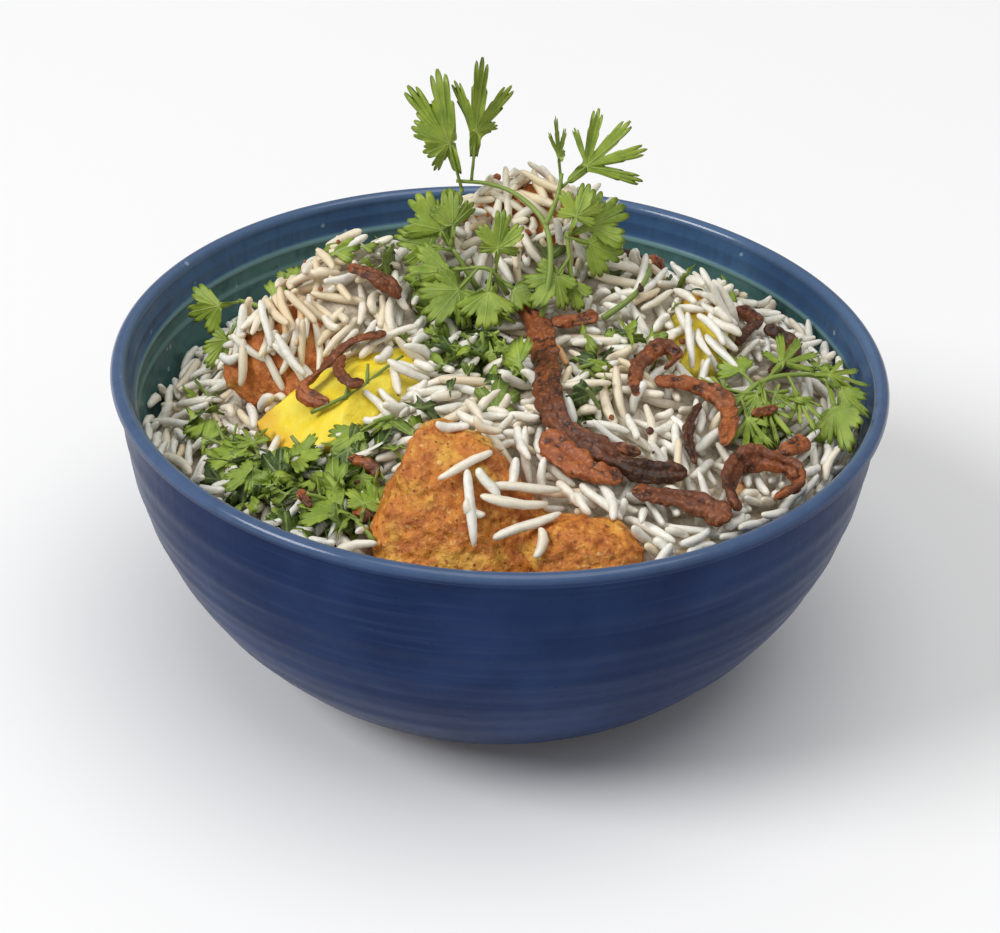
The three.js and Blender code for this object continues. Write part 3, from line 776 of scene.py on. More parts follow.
axis = np.arange(CELLS) * CELL - REACH
x_map, y_map = np.meshgrid(axis, axis, indexing="ij")
places = np.stack([x_map.ravel(), y_map.ravel(), 0 * x_map.ravel()], 1)
goal = rice_goal + 0.8 * unevenness(places, 7, 31).reshape(CELLS, CELLS)
bare_top = heights.copy()  # the dish before any grain lies on it
within_wall = np.hypot(x_map, y_map) < INSIDE_RADIUS - 2.5
open_rice = within_wall & (rice_goal > 40)
open_rice &= standing < rice_goal + 0.3  # chicken and potato that stand out of the rice stay clear
open_rice &= (y_map > GAP_Y - 1) | (np.abs(x_map - GAP_X) > GAP_HALF)  # the gap is filled on its own
laid = []


def lay_grain(x, y, azimuth, length, wide, steepest, poke, above, limit):
    """Lays one grain if it can lie there, no higher above the limit than it may."""
    radius = 0.5 * wide
    ends = np.array([-0.5, 0.5]) * length
    if np.max(np.hypot(x + ends * np.cos(azimuth), y + ends * np.sin(azimuth))) > INSIDE_RADIUS - 1.4:
        return False
    z, slope = rest(x, y, azimuth, length, radius)
    if abs(slope) > 0.4:  # a grain on a steep place covers less ground
        z, slope = rest(x, y, azimuth, length * np.cos(np.arctan(slope)), radius)
    if abs(slope) > steepest or z > over(limit, x, y) + above:
        return False
    along = np.linspace(-0.46, 0.46, 9) * length
    clear = over(underside, x + along * np.cos(azimuth), y + along * np.sin(azimuth))
    if np.any(z + slope * along + 0.5 * radius > clear):
        return False
    slope += poke
    pitch = np.arctan(slope)
    settle(x, y, azimuth, length * np.cos(pitch), radius, z, slope)
    laid.append({
        "at": (x, y, z), "turn": grain_turn(azimuth, pitch), "size": (length, wide, wide * 0.92),
        "kind": rng.integers(len(GRAIN_BENDS)), "tone": warmth(x, y),
    })
    return True


def grain_size():
    """A grain's length and width: most are whole, some are broken."""
    length = rng.uniform(10, 15) if rng.random() < 0.82 else rng.uniform(5, 9.5)
    return length, rng.uniform(1.8, 2.35)


PROUD = 1.3  # how far above its limit a grain may stand
HANDFUL = 40  # grains dropped before the lowest places are looked for again


def fill_heap(rounds, where, limit, steepest, lead=None):
    """Drops grains into the lowest places until they have risen to the limit."""
    for _ in range(rounds):
        lack = np.clip(np.where(where, limit - heights, 0) - 0.3, 0, 6) ** 1.5
        if not lack.any():
            return
        share = (lack / lack.sum()).ravel()
        for cell in rng.choice(lack.size, HANDFUL, p=share):
            x, y = x_map.flat[cell] + rng.normal(0, 1.5), y_map.flat[cell] + rng.normal(0, 1.5)
            swirl = unevenness(np.array([[x, y, 0.0]]), 24, 33)[0]
            azimuth = np.pi * (0.5 + 0.55 * swirl) + rng.normal(0, 0.85)
            if lead is not None:
                azimuth = lead + rng.normal(0, 0.42)
            elif np.hypot(x, y) > INSIDE_RADIUS - 9:  # along the wall
                azimuth = np.arctan2(y, x) + np.pi / 2 + rng.normal(0, 0.3)
            length, wide = grain_size()
            if np.hypot(x, y) > INSIDE_RADIUS - 6:  # short enough to fit beside it
                length *= 0.75
            poke = rng.normal(0, 0.26) if rng.random() < 0.35 else rng.normal(0, 0.05)
            fits = lay_grain(x, y, azimuth, length, wide, steepest, poke, PROUD, limit)
            if fits and rng.random() < 0.3:  # another grain clings alongside
                x -= wide * 0.95 * np.sin(azimuth) + 1.5 * rng.normal() * np.cos(azimuth)
                y += wide * 0.95 * np.cos(azimuth) + 1.5 * rng.normal() * np.sin(azimuth)
                azimuth += rng.normal(0, 0.12)
                lay_grain(x, y, azimuth, length * rng.uniform(0.8, 1.1), wide, steepest, poke, PROUD, limit)


HEAP_STEEPEST = 1.3
gap = (y_map < GAP_Y) & (np.abs(x_map - GAP_X) < GAP_HALF) & (standing == NOTHING) & within_wall
fill_heap(380, open_rice, goal, HEAP_STEEPEST)
fill_heap(40, gap, np.minimum(rice_goal, GAP_LEVEL), HEAP_STEEPEST)

# Grains that dress the chicken and the potato and leave small patches of them bare: the middle and the
# reach of each dressing, the way its grains lead, how steep they may lie, and how little it leaves bare.
DRESSINGS = (
    (-45, 0, 20, 16, -1.3, 3.0, 0.4), (7, 22, 20, 15, None, 3.5, 0.8), (-17, -13, 5, 4, -0.5, 1.5, 0.9),
    (48, -5, 6, 5, -1.0, 1.5, 0.9), (46, 7, 8, 5, 2.6, 3.5, 0.55),
)
DRESSING_DEPTH = 2.2
patch = unevenness(places + (7, 3, 0), 9, 35).reshape(CELLS, CELLS)
for x0, y0, reach_x, reach_y, lead, steepest, full in DRESSINGS:
    near = ((x_map - x0) / reach_x) ** 2 + ((y_map - y0) / reach_y) ** 2 < 1
    near &= (standing > NOTHING) & (patch < full)
    fill_heap(70, near, bare_top + DRESSING_DEPTH, steepest, lead)
for _ in range(5):  # a few grains lie free on the right potato
    length, wide = grain_size()
    x, y, azimuth = rng.normal(45, 4), rng.normal(3, 4), rng.normal(-1.2, 0.5)
    lay_grain(x, y, azimuth, length, wide, 1.5, 0.0, 3.6, bare_top)


APART = 3.1  # least distance between the middles of two grains that cling
FROM_OUTSIDE = 110  # how far from the piece's middle the rays start that look for its sides


def cling(piece, count, lowest, highest, reach):
    """Grains stuck to steep sides between two levels, where nothing dropped from above comes to rest."""
    at = points_of(piece.data)
    tree = BVHTree.FromPolygons(at.tolist(), [face.vertices[:] for face in piece.data.polygons])
    middle = Vector(at.mean(axis=0))
    stuck = []
    for _ in range(40 * count):
        azimuth = rng.uniform(0, 2 * np.pi)
        out = Vector((np.cos(azimuth), np.sin(azimuth), 0))
        start = middle + FROM_OUTSIDE * out + rng.uniform(-reach, reach) * Vector((-out.y, out.x, 0))
        start.z = rng.uniform(lowest, highest)
        spot, normal, _, _ = tree.ray_cast(start, -out)
        if spot is None or normal.z > 0.8 or any((spot - other).length < APART for other in stuck):
            continue
        if over(heights, spot.x + 2 * normal.x, spot.y + 2 * normal.y) > spot.z + 0.5:
            continue
        if over(heights, spot.x, spot.y) > spot.z + 2.4 or over(underside, spot.x, spot.y) < OPEN_SKY:
            continue
        down = (Vector((0, 0, -1)) + normal * normal.z).normalized()
        lean = rng.normal(0, 0.75)
        along = down * np.cos(lean) + normal.cross(down) * np.sin(lean)
        turn = Matrix((along, normal.cross(along), normal)).transposed()
        length, wide = grain_size()
        stuck.append(spot)
        laid.append({
            "at": tuple(spot + normal * 0.42 * wide), "turn": tuple(turn.to_euler()),
            "size": (length * 0.9, wide, wide * 0.92), "kind": rng.integers(len(GRAIN_BENDS)),
            "tone": warmth(spot.x, spot.y),
        })
        if len(stuck) == count:
            return


cling(bpy.data.objects["chicken_back_piece"], 46, 88, 106, 12)
cling(bpy.data.objects["chicken_left_piece"], 34, 76, 93, 12)
cling(core, 70, 76, 104, 45)

# Loose grains on the front piece of chicken and a few beside it, by where their two ends lie.
LOOSE = [
    ((-13, -56, 91), (-6, -54, 89.6)), ((2, -40, 84), (9, -40.5, 84.2)), ((-7, -35, 84.5), (-3, -44, 84)),
    ((-9, -44, 87), (-1, -49, 87)), ((-5, -50, 89.5), (1, -50, 86)), ((-1, -62, 88.6), (-12, -68, 85)),
    ((-6, -66, 86.4), (-4, -76.2, 74)), ((-4, -66, 86.6), (1, -69.5, 81.6)), ((4, -60, 86), (3, -66, 81.8)),
    ((-1, -67.5, 83.6), (14, -63.5, 80.4)), ((-3, -69.5, 82.4), (11, -67.5, 79.4)),
    ((-6, -70.5, 82), (-2, -72, 78.8)), ((0, -75.4, 75.6), (14, -68.5, 78)),
    ((10, -72.5, 76.8), (9, -77.6, 72.4)), ((18, -58, 78.6), (27, -66, 75.4)),
    ((4, -43, 83), (7, -53, 81)), ((16, -9.5, 85.4), (29, -7.4, 85.8)),
    ((17, -61, 77.8), (20, -68, 77.6)), ((13, -58, 79), (19, -66, 78)), ((-51, -12, 86), (-44, -19, 79.5)),
    ((-21, -43, 80), (-32, -48, 76)), ((-22, -46, 79), (-17, -45, 80.6)), ((22, -57, 78.4), (25, -68, 76.6)),
]
for start, end in LOOSE:
    start, end = np.array(start, float), np.array(end, float)
    reach = end - start
    azimuth, pitch = np.arctan2(reach[1], reach[0]), np.arctan2(reach[2], np.hypot(reach[0], reach[1]))
    wide = rng.uniform(2.0, 2.3)
    laid.append({
        "at": (start + end) / 2, "turn": grain_turn(azimuth, pitch),
        "size": (np.linalg.norm(reach), wide, wide * 0.94), "kind": rng.integers(len(GRAIN_BENDS)),
        "tone": rng.uniform(0, 0.3),
    })

half = len(laid) // 2
scattered("rice_grains_lower", grains, laid[:half], boiled.material)
scattered("rice_grains_upper", grains, laid[half:], boiled.material)
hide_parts("rice")


# ---------------------------------------------------------------------------------------------------
# Fried onion. Strips of onion fried slowly until they shrink, curl and brown: grooved along their fibres,
# wrinkled, shiny with oil, from orange-brown where they stayed thick to nearly black where they are thin.


def smooth_line(points, step):
    """Places about a step apart on a smooth line through the points."""
    p = np.asarray(points, float)
    p = np.vstack([2 * p[0] - p[1], p, 2 * p[-1] - p[-2]])
    t = np.linspace(0, 1, 20, endpoint=False)[:, None]
    fine = [
        0.5 * (2 * b + (c - a) * t + (2 * a - 5 * b + 4 * c - d) * t**2 + (3 * b - a - 3 * c + d) * t**3)
        for a, b, c, d in zip(p, p[1:], p[2:], p[3:])
    ]
    fine = np.vstack([*fine, p[-2:-1]])
    run = np.append(0, np.cumsum(np.linalg.norm(np.diff(fine, axis=0), axis=1)))
    at = np.linspace(0, run[-1], max(3, int(round(run[-1] / step)) + 1))
    return np.stack([np.interp(at, run, fine[:, k]) for k in range(3)], axis=1)


def unit(vectors):
    return vectors / np.linalg.norm(vectors, axis=-1, keepdims=True)


def onion_strip(strip, seed):
    """Points, faces and marks of one strip: a flat, grooved and wrinkled section carried along its line."""
    line = smooth_line(strip["along"], 0.4)
    share = np.linspace(0, 1, len(line))
    run = share * (len(line) - 1) * 0.4
    ahead = unit(np.gradient(line, axis=0))
    across = unit(np.cross(ahead, (0, 0, 1)))
    roll = np.radians(strip["roll"][0] + (strip["roll"][1] - strip["roll"][0]) * share)[:, None]
    across = across * np.cos(roll) + np.cross(ahead, across) * np.sin(roll)
    through = np.cross(across, ahead)
    sweep = np.stack([run, 0 * run, 0 * run + 9.7 * seed], axis=1)
    slim = 0.72 + 0.28 * np.sin(np.pi * np.clip(share * 1.1 - 0.05, 0, 1)) ** 0.5
    slim = slim * np.clip(np.minimum(run, run[-1] - run) / 1.6 + 0.12, 0, 1) ** 0.5
    broader = 1 + 0.24 * unevenness(sweep, 5, 41) + 0.14 * unevenness(sweep, 1.9, 48)
    half_wide = 0.5 * strip["wide"] * slim * broader
    half_thick = 0.5 * strip["thick"] * slim * (1 + 0.3 * unevenness(sweep, 4, 42))
    around = 28
    turn = -2 * np.pi * np.arange(around) / around
    x, y = np.cos(turn)[None, :, None], np.sin(turn)[None, :, None]
    wide, thick = half_wide[:, None, None], half_thick[:, None, None]
    curl = 0.3 * unevenness(sweep, 9, 43)[:, None, None] * wide * (x * x - 0.5)
    groove = 1 - 0.5 * np.exp(-((x + 0.1) / 0.2) ** 2) - 0.14 * np.cos(8 * x + seed)
    rings = line[:, None, :] + across[:, None, :] * (x * wide)
    rings = rings + through[:, None, :] * (y * thick * groove + curl)
    out = unit(across[:, None, :] * (x * thick) + through[:, None, :] * (y * wide))
    places = rings.reshape(-1, 3)
    rough = 0.3 * unevenness(places, 2.6, 44) + 0.36 * unevenness(places, 1.25, 45)
    rough = rough + 0.16 * unevenness(places, 0.7, 46)
    places = places + out.reshape(-1, 3) * (rough * np.repeat(slim, around))[:, None]
    points = np.vstack([places, line[0], line[-1]])
    dark = strip["dark"][0] + (strip["dark"][1] - strip["dark"][0]) * share
    marks = {
        "dark": np.append(np.repeat(dark, around) + 0.3 * unevenness(places, 5, 47), [dark[0], dark[-1]]),
        # How far each point is pushed in, which the finish darkens as painted shade.
        "hollow": np.append(np.clip(-rough * 2.2, -1, 1), [0, 0]),
    }
    return points, skin_faces(len(line), around), marks


fried = Finish("fried onion", 0.35, specular_ior_level=0.4)
scorch = fried.attribute("dark")
hollow = fried.attribute("hollow")
grain = fried.noise(0.8, 3, 0.6)
cloud = fried.noise(3.4, 3)
skin = fried.mix(cloud.rise(0.3, 0.7), paint(138, 70, 32), paint(166, 94, 47))
skin = fried.mix(scorch.rise(0.05, 0.5), skin, paint(108, 58, 32))
skin = fried.mix(scorch.rise(0.5, 1.05), skin, paint(52, 32, 20))
# Painted shade: darker in the hollows of the wrinkled skin.
skin = fried.mix(hollow.rise(0.05, 0.6) * 0.85, skin, paint(46, 24, 16))
# Painted highlight: lighter on the raised tops of the fine relief, less where the strip is darker.
skin = fried.mix(grain.rise(0.52, 0.66) * (0.6 - 0.45 * scorch), skin, paint(196, 124, 74))
fried.relief(grain, 0.22)
fried.done(skin, 0.26 + 0.3 * grain)

# Each strip's line, its width and thickness, and at its two ends its roll in degrees and how dark it is.
ONION = {
    "onion_curl": {
        "along": [(4, 2.5, 88.5), (8, -4, 86.8), (10, -17, 85.6), (10.5, -32, 86.3), (12.5, -42, 85),
                  (19, -48.5, 82.6), (30, -53, 79.8), (41, -52, 78.8)],
        "wide": 6, "thick": 2.4, "roll": (20, 50), "dark": (0.1, 0.95),
    },
    "onion_arm": {
        "along": [(11, -3, 86.8), (16, -2, 87), (22, -1, 88)],
        "wide": 4, "thick": 2, "roll": (10, 40), "dark": (0.1, 0.15),
    },
    "onion_thick": {
        "along": [(10, -47, 84.5), (14, -52, 82.6), (20, -56, 81), (27, -57, 79.8)],
        "wide": 6.5, "thick": 3, "roll": (30, 10), "dark": (-0.2, 0.0),
    },
    "onion_low": {
        "along": [(29, -60, 78.6), (35, -60, 77.8), (42, -61, 77.2), (50, -65, 76)],
        "wide": 6, "thick": 2.6, "roll": (0, 25), "dark": (0.4, 0.5),
    },
    "onion_knot": {
        "along": [(30, -31, 85), (30, -23, 85.6), (32, -17, 86.2), (36.5, -11, 86.4), (40, -13, 85.4),
                  (37, -18.5, 85)],
        "wide": 3.4, "thick": 1.8, "roll": (0, 60), "dark": (0.3, 0.6),
    },
    "onion_bend": {
        "along": [(34.5, -24, 85), (42.5, -22.5, 83.4), (48, -24, 82), (51, -29, 80.8), (50, -41, 79.2)],
        "wide": 4.6, "thick": 2.2, "roll": (10, 40), "dark": (0.15, 0.1),
    },
    "onion_stem": {
        "along": [(44.5, -28, 82), (42.5, -34, 81.2), (41.5, -41, 80.4), (43, -48.5, 79)],
        "wide": 2.4, "thick": 1.6, "roll": (0, 0), "dark": (0.9, 0.95),
    },
    "onion_ring": {
        "along": [(51.5, -62, 76.5), (50, -53, 77.6), (53.5, -46, 78.6), (59, -44.5, 78), (64.5, -46, 76.8),
                  (65, -51, 76.2), (60, -56, 76)],
        "wide": 5, "thick": 2.2, "roll": (50, 60), "dark": (0.6, 0.2),
    },
    "onion_tip": {
        "along": [(61, -40, 77), (65, -36.5, 76.8), (68.5, -32, 76.4)],
        "wide": 4.6, "thick": 2.4, "roll": (0, 20), "dark": (0.1, -0.3),
    },
    "onion_right_back": {
        "along": [(55, 14, 83.5), (59, 9, 83.3), (57, 3, 83.6), (54, -3, 83)],
        "wide": 4.2, "thick": 2.2, "roll": (10, 60), "dark": (0.5, 0.8),
    },
    "onion_right_edge": {
        "along": [(61, 6, 83), (67, 4, 80.6), (67, -3, 79.8), (62, -11, 80)],
        "wide": 4.4, "thick": 2.4, "roll": (40, 10), "dark": (0.8, 0.8),
    },
    "onion_back": {
        "along": [(22, 31, 90), (27, 33, 86.5), (32, 33, 84), (36, 29, 84)],
        "wide": 5, "thick": 2.4, "roll": (0, 30), "dark": (0.9, 1.0),
    },
    "onion_on_potato": {
        "along": [(-26, -12.5, 87.5), (-31, -13.5, 87), (-35.5, -15.5, 85), (-40, -21, 82.3),
                  (-44, -25, 79.6), (-41, -29, 79.5), (-37.5, -31, 80)],
        "wide": 3.6, "thick": 1.8, "roll": (20, 60), "dark": (0.5, 0.1),
    },
    "onion_hook": {
        "along": [(-35, -19.5, 85.5), (-36, -24, 84.3), (-33, -29, 84.3), (-30, -28, 84)],
        "wide": 2.8, "thick": 1.7, "roll": (0, 40), "dark": (0.4, 0.5),
    },
    "onion_left_top": {
        "along": [(-36, 2, 96.3), (-31, 1, 95.6), (-26.5, 0, 93.6), (-23.5, -2, 91)],
        "wide": 4, "thick": 2, "roll": (0, 30), "dark": (0.3, 0.5),
    },
}
for seed, (node, strip) in enumerate(ONION.items()):
    points, faces, marks = onion_strip(strip, seed)
    onion = piece_from(node + "_fried", points, faces, fried.material, "fried_onion", marks)
    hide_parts(node)

# Short crisp ends that are too small to count as strips, lying among the herbs and the rice.
SCRAPS = [
    [(-32, -49, 77), (-28, -51, 77.5), (-25, -54, 76)], [(-30, -63, 72.5), (-26, -65, 73)],
    [(-42, -56, 73), (-39, -61, 72)], [(35, 33, 86), (38, 26, 86.5)], [(24, -47, 82), (31, -49, 81.4)],
    [(56, -30, 81), (62, -27, 81)],
]
for seed, along in enumerate(SCRAPS):
    strip = {"along": along, "wide": 3, "thick": 1.8, "roll": (0, 60), "dark": (0.1, 0.5)}
    points, faces, marks = onion_strip(strip, 60 + seed)
    piece_from(f"onion_scrap_{seed + 1}", points, faces, fried.material, "fried_onion", marks)


# ---------------------------------------------------------------------------------------------------
# Coriander. Whole sprigs stand in the heap and lie on it: thin round stems, and thin leaflets cut into
# rounded lobes with a vein to each lobe. The sprig on the right is older, with lobes as fine as threads.

# Each lobe: its turn from the tip in radians, how far it reaches from the leaflet's heart, half its width at
# the heart and how it flares, all by the leaflet's length.
BROAD = (
    (0.05, 0.62, 0.07, 0.22), (0.82, 0.54, 0.05, 0.23), (-0.86, 0.52, 0.055, 0.22), (1.65, 0.38, 0.045, 0.24),
    (-1.7, 0.36, 0.045, 0.24),
)
THREE = ((-0.08, 0.62, 0.08, 0.25), (0.8, 0.56, 0.055, 0.27), (-0.98, 0.52, 0.06, 0.27))
TALL = (
    (0.0, 0.6, 0.05, 0.06), (0.62, 0.46, 0.04, 0.08), (-0.58, 0.44, 0.04, 0.08), (1.3, 0.2, 0.04, 0.1),
)
SWEPT = (
    (0.12, 0.58, 0.07, 0.07), (-0.42, 0.54, 0.06, 0.08), (-0.95, 0.36, 0.05, 0.1), (-1.6, 0.24, 0.06, 0.1),
    (-2.3, 0.26, 0.05, 0.1),
)
FAN = (
    (-0.1, 0.66, 0.03, 0.09), (-0.62, 0.6, 0.026, 0.09), (0.4, 0.66, 0.03, 0.09), (0.95, 0.56, 0.028, 0.09),
    (-1.2, 0.42, 0.026, 0.1),
)
FINE = (
    (0, 0.66, 0.026, 0.06), (0.45, 0.56, 0.02, 0.06), (-0.45, 0.58, 0.02, 0.06), (0.9, 0.48, 0.02, 0.07),
    (-0.95, 0.46, 0.02, 0.07), (1.45, 0.36, 0.02, 0.08), (-1.5, 0.34, 0.02, 0.08),
)
HEART = 0.4  # where along a leaflet its lobes meet


def leaf_reach(angle, lobes):
    """How far a leaflet reaches from its heart at an angle from its tip: flared straps with toothed ends."""
    reach = np.full_like(angle, 0.03)
    for turn, far, half, flare in (*lobes, (np.pi, HEART, 0.06, -0.1)):
        off = (angle - turn + np.pi) % (2 * np.pi) - np.pi
        aside, ahead = np.abs(np.sin(off)), np.cos(off)
        edge = np.where(aside > flare + 0.02, half / np.maximum(aside - flare, 0.02), 9)
        share = np.clip(far * np.tan(np.clip(off, -1.2, 1.2)) / (half + flare * far), -1, 1)
        tooth = 1 - np.abs(np.cos(1.5 * np.pi * share)) ** 0.45
        end = far * (1 - 0.22 * tooth - 0.18 * share**2) / np.maximum(ahead, 0.2)
        reach = np.maximum(reach, np.where(ahead > 0.2, np.minimum(edge, end), 0))
    return reach


LEAF_HALF = 0.26  # half a leaflet's thickness


def leaf_shell(length, wide, lobes, around, rings, ripple, seed):
    """A flat leaflet as a thin closed shell: points across, along and out of its face, faces, and marks."""
    fine = np.linspace(-np.pi, np.pi, 1500)
    far = leaf_reach(fine, lobes) * (1 + 0.04 * np.sin(7 * fine + 2.3 * seed))
    run = np.append(0, np.cumsum(np.hypot(np.diff(far * np.sin(fine)), np.diff(far * np.cos(fine))) + 0.0006))
    angle = np.interp(np.linspace(0, run[-1], around, endpoint=False), run, fine)
    reach = np.interp(angle, fine, far)
    shares = np.linspace(0, 1, rings + 1)[1:] ** 0.85
    across = np.outer(shares, wide * length * reach * np.sin(angle))
    along = np.outer(shares, length * reach * np.cos(angle)) + HEART * length
    wave = np.sin(3 * angle + seed) + 0.7 * np.sin(5 * angle + 2 * seed)
    out = ripple * length * np.outer(shares**2, wave) * 0.05
    slight = min(1, length / 8 + 0.1)
    thick = LEAF_HALF * (1 - 0.6 * shares)[:, None] * slight
    flat = np.stack([across, along], axis=-1)
    upper = np.concatenate([flat, (out + thick)[..., None]], axis=-1)
    lower = np.concatenate([flat, (out - thick)[..., None]], axis=-1)[:-1]
    levels = [*lower, *upper[::-1]]
    middle = LEAF_HALF * slight
    points = np.vstack([*levels, [0, HEART * length, -middle], [0, HEART * length, middle]])
    marks = np.stack([points[:, 0], points[:, 1] - HEART * length, 0 * points[:, 0]], axis=1)
    return points, skin_faces(len(levels), around), marks


def leaflet(leaf, lobes, seed):
    """A leaflet from its foot to its tip, its face towards the given direction and a little cupped."""
    foot, tip = np.array(leaf["foot"], float), np.array(leaf["tip"], float)
    length = np.linalg.norm(tip - foot)
    ahead = unit(tip - foot)
    across = unit(np.cross(ahead, leaf["face"]))
    out = np.cross(across, ahead)
    flat, faces, marks = leaf_shell(1.04 * length, leaf["wide"], lobes, 190, 5, 1.0, seed)
    x, y, z = flat[:, :1], flat[:, 1:2], flat[:, 2:]
    cup = leaf["cup"] * (x * x + 0.5 * y * y) / length
    crumple = 0.5 * unevenness(flat + 31.7 * seed, 5, 51)[:, None] * np.clip(length / 14, 0, 1)
    return foot + across * x + ahead * y + out * (z - cup + crumple), faces, marks


herb = Finish("coriander leaf", 0.45, specular_ior_level=0.45)
leaf_place = herb.attribute("leaf", "Vector")
stalk = herb.attribute("stalk")
age = herb.attribute("tone")
x_leaf, y_leaf = herb.split(leaf_place, 0), herb.split(leaf_place, 1)
from_heart = herb.node("ShaderNodeVectorMath", {"operation": "LENGTH"}, {0: leaf_place}, out="Value")
vein = x_leaf.maths("ARCTAN2", x_leaf, y_leaf) * 3.7
vein = abs(vein.maths("SINE", vein)) * from_heart
vein = vein.rise(0.8, 0.15) * (1 - stalk)
cloud = herb.noise(4, 3)
fine = herb.noise(0.9, 3)
green = herb.mix(cloud.rise(0.3, 0.7), paint(118, 143, 42), paint(150, 170, 60))
green = herb.mix(age.rise(0.2, 1.0), green, paint(60, 82, 34))
green = herb.mix(fine.rise(0.5, 0.75) * 0.3, green, paint(166, 184, 96))
green = herb.mix(vein * 0.35, green, paint(172, 190, 116))
green = herb.mix(stalk * 0.8, green, paint(130, 150, 70))
herb.relief(fine * 0.4 + (1 - vein) * 0.6, 0.18)
herb.done(green, 0.36 + 0.2 * fine)


def taken(piece):
    """The points and faces of a made object, which is then removed."""
    points = points_of(piece.data)
    faces = [tuple(face.vertices) for face in piece.data.polygons]
    bpy.data.objects.remove(piece)
    return points, faces


def stems(lines, thick):
    """Round stems along lines of points, thinner towards their ends."""
    fine = [smooth_line(line, 1.4) for line in lines]
    radii = [np.linspace(thick, 0.62 * thick, len(line)) for line in fine]
    return taken(rod("stems", fine, radii, 8, herb.material))


def sprig(name, parts, node):
    """One piece from parts, each with its points, faces, places on the leaf, and how far it is a stalk."""
    points, faces, leaf, stalk, tone = [], [], [], [], []
    start = 0
    for place, skin, marks, stem_share, shade in parts:
        points.append(place)
        faces += [tuple(start + i for i in face) for face in skin]
        leaf.append(marks)
        stalk.append(np.full(len(place), stem_share))
        tone.append(np.full(len(place), shade))
        start += len(place)
    marks = {"leaf": np.vstack(leaf), "stalk": np.concatenate(stalk), "tone": np.concatenate(tone)}
    piece = piece_from(name, np.vstack(points), faces, herb.material, "coriander", marks)
    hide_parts(node)


FRONT = (0, -0.85, 0.5)  # a leaf that shows its face to the front
UPWARD = (0, -0.35, 0.95)  # a leaf that lies on the heap
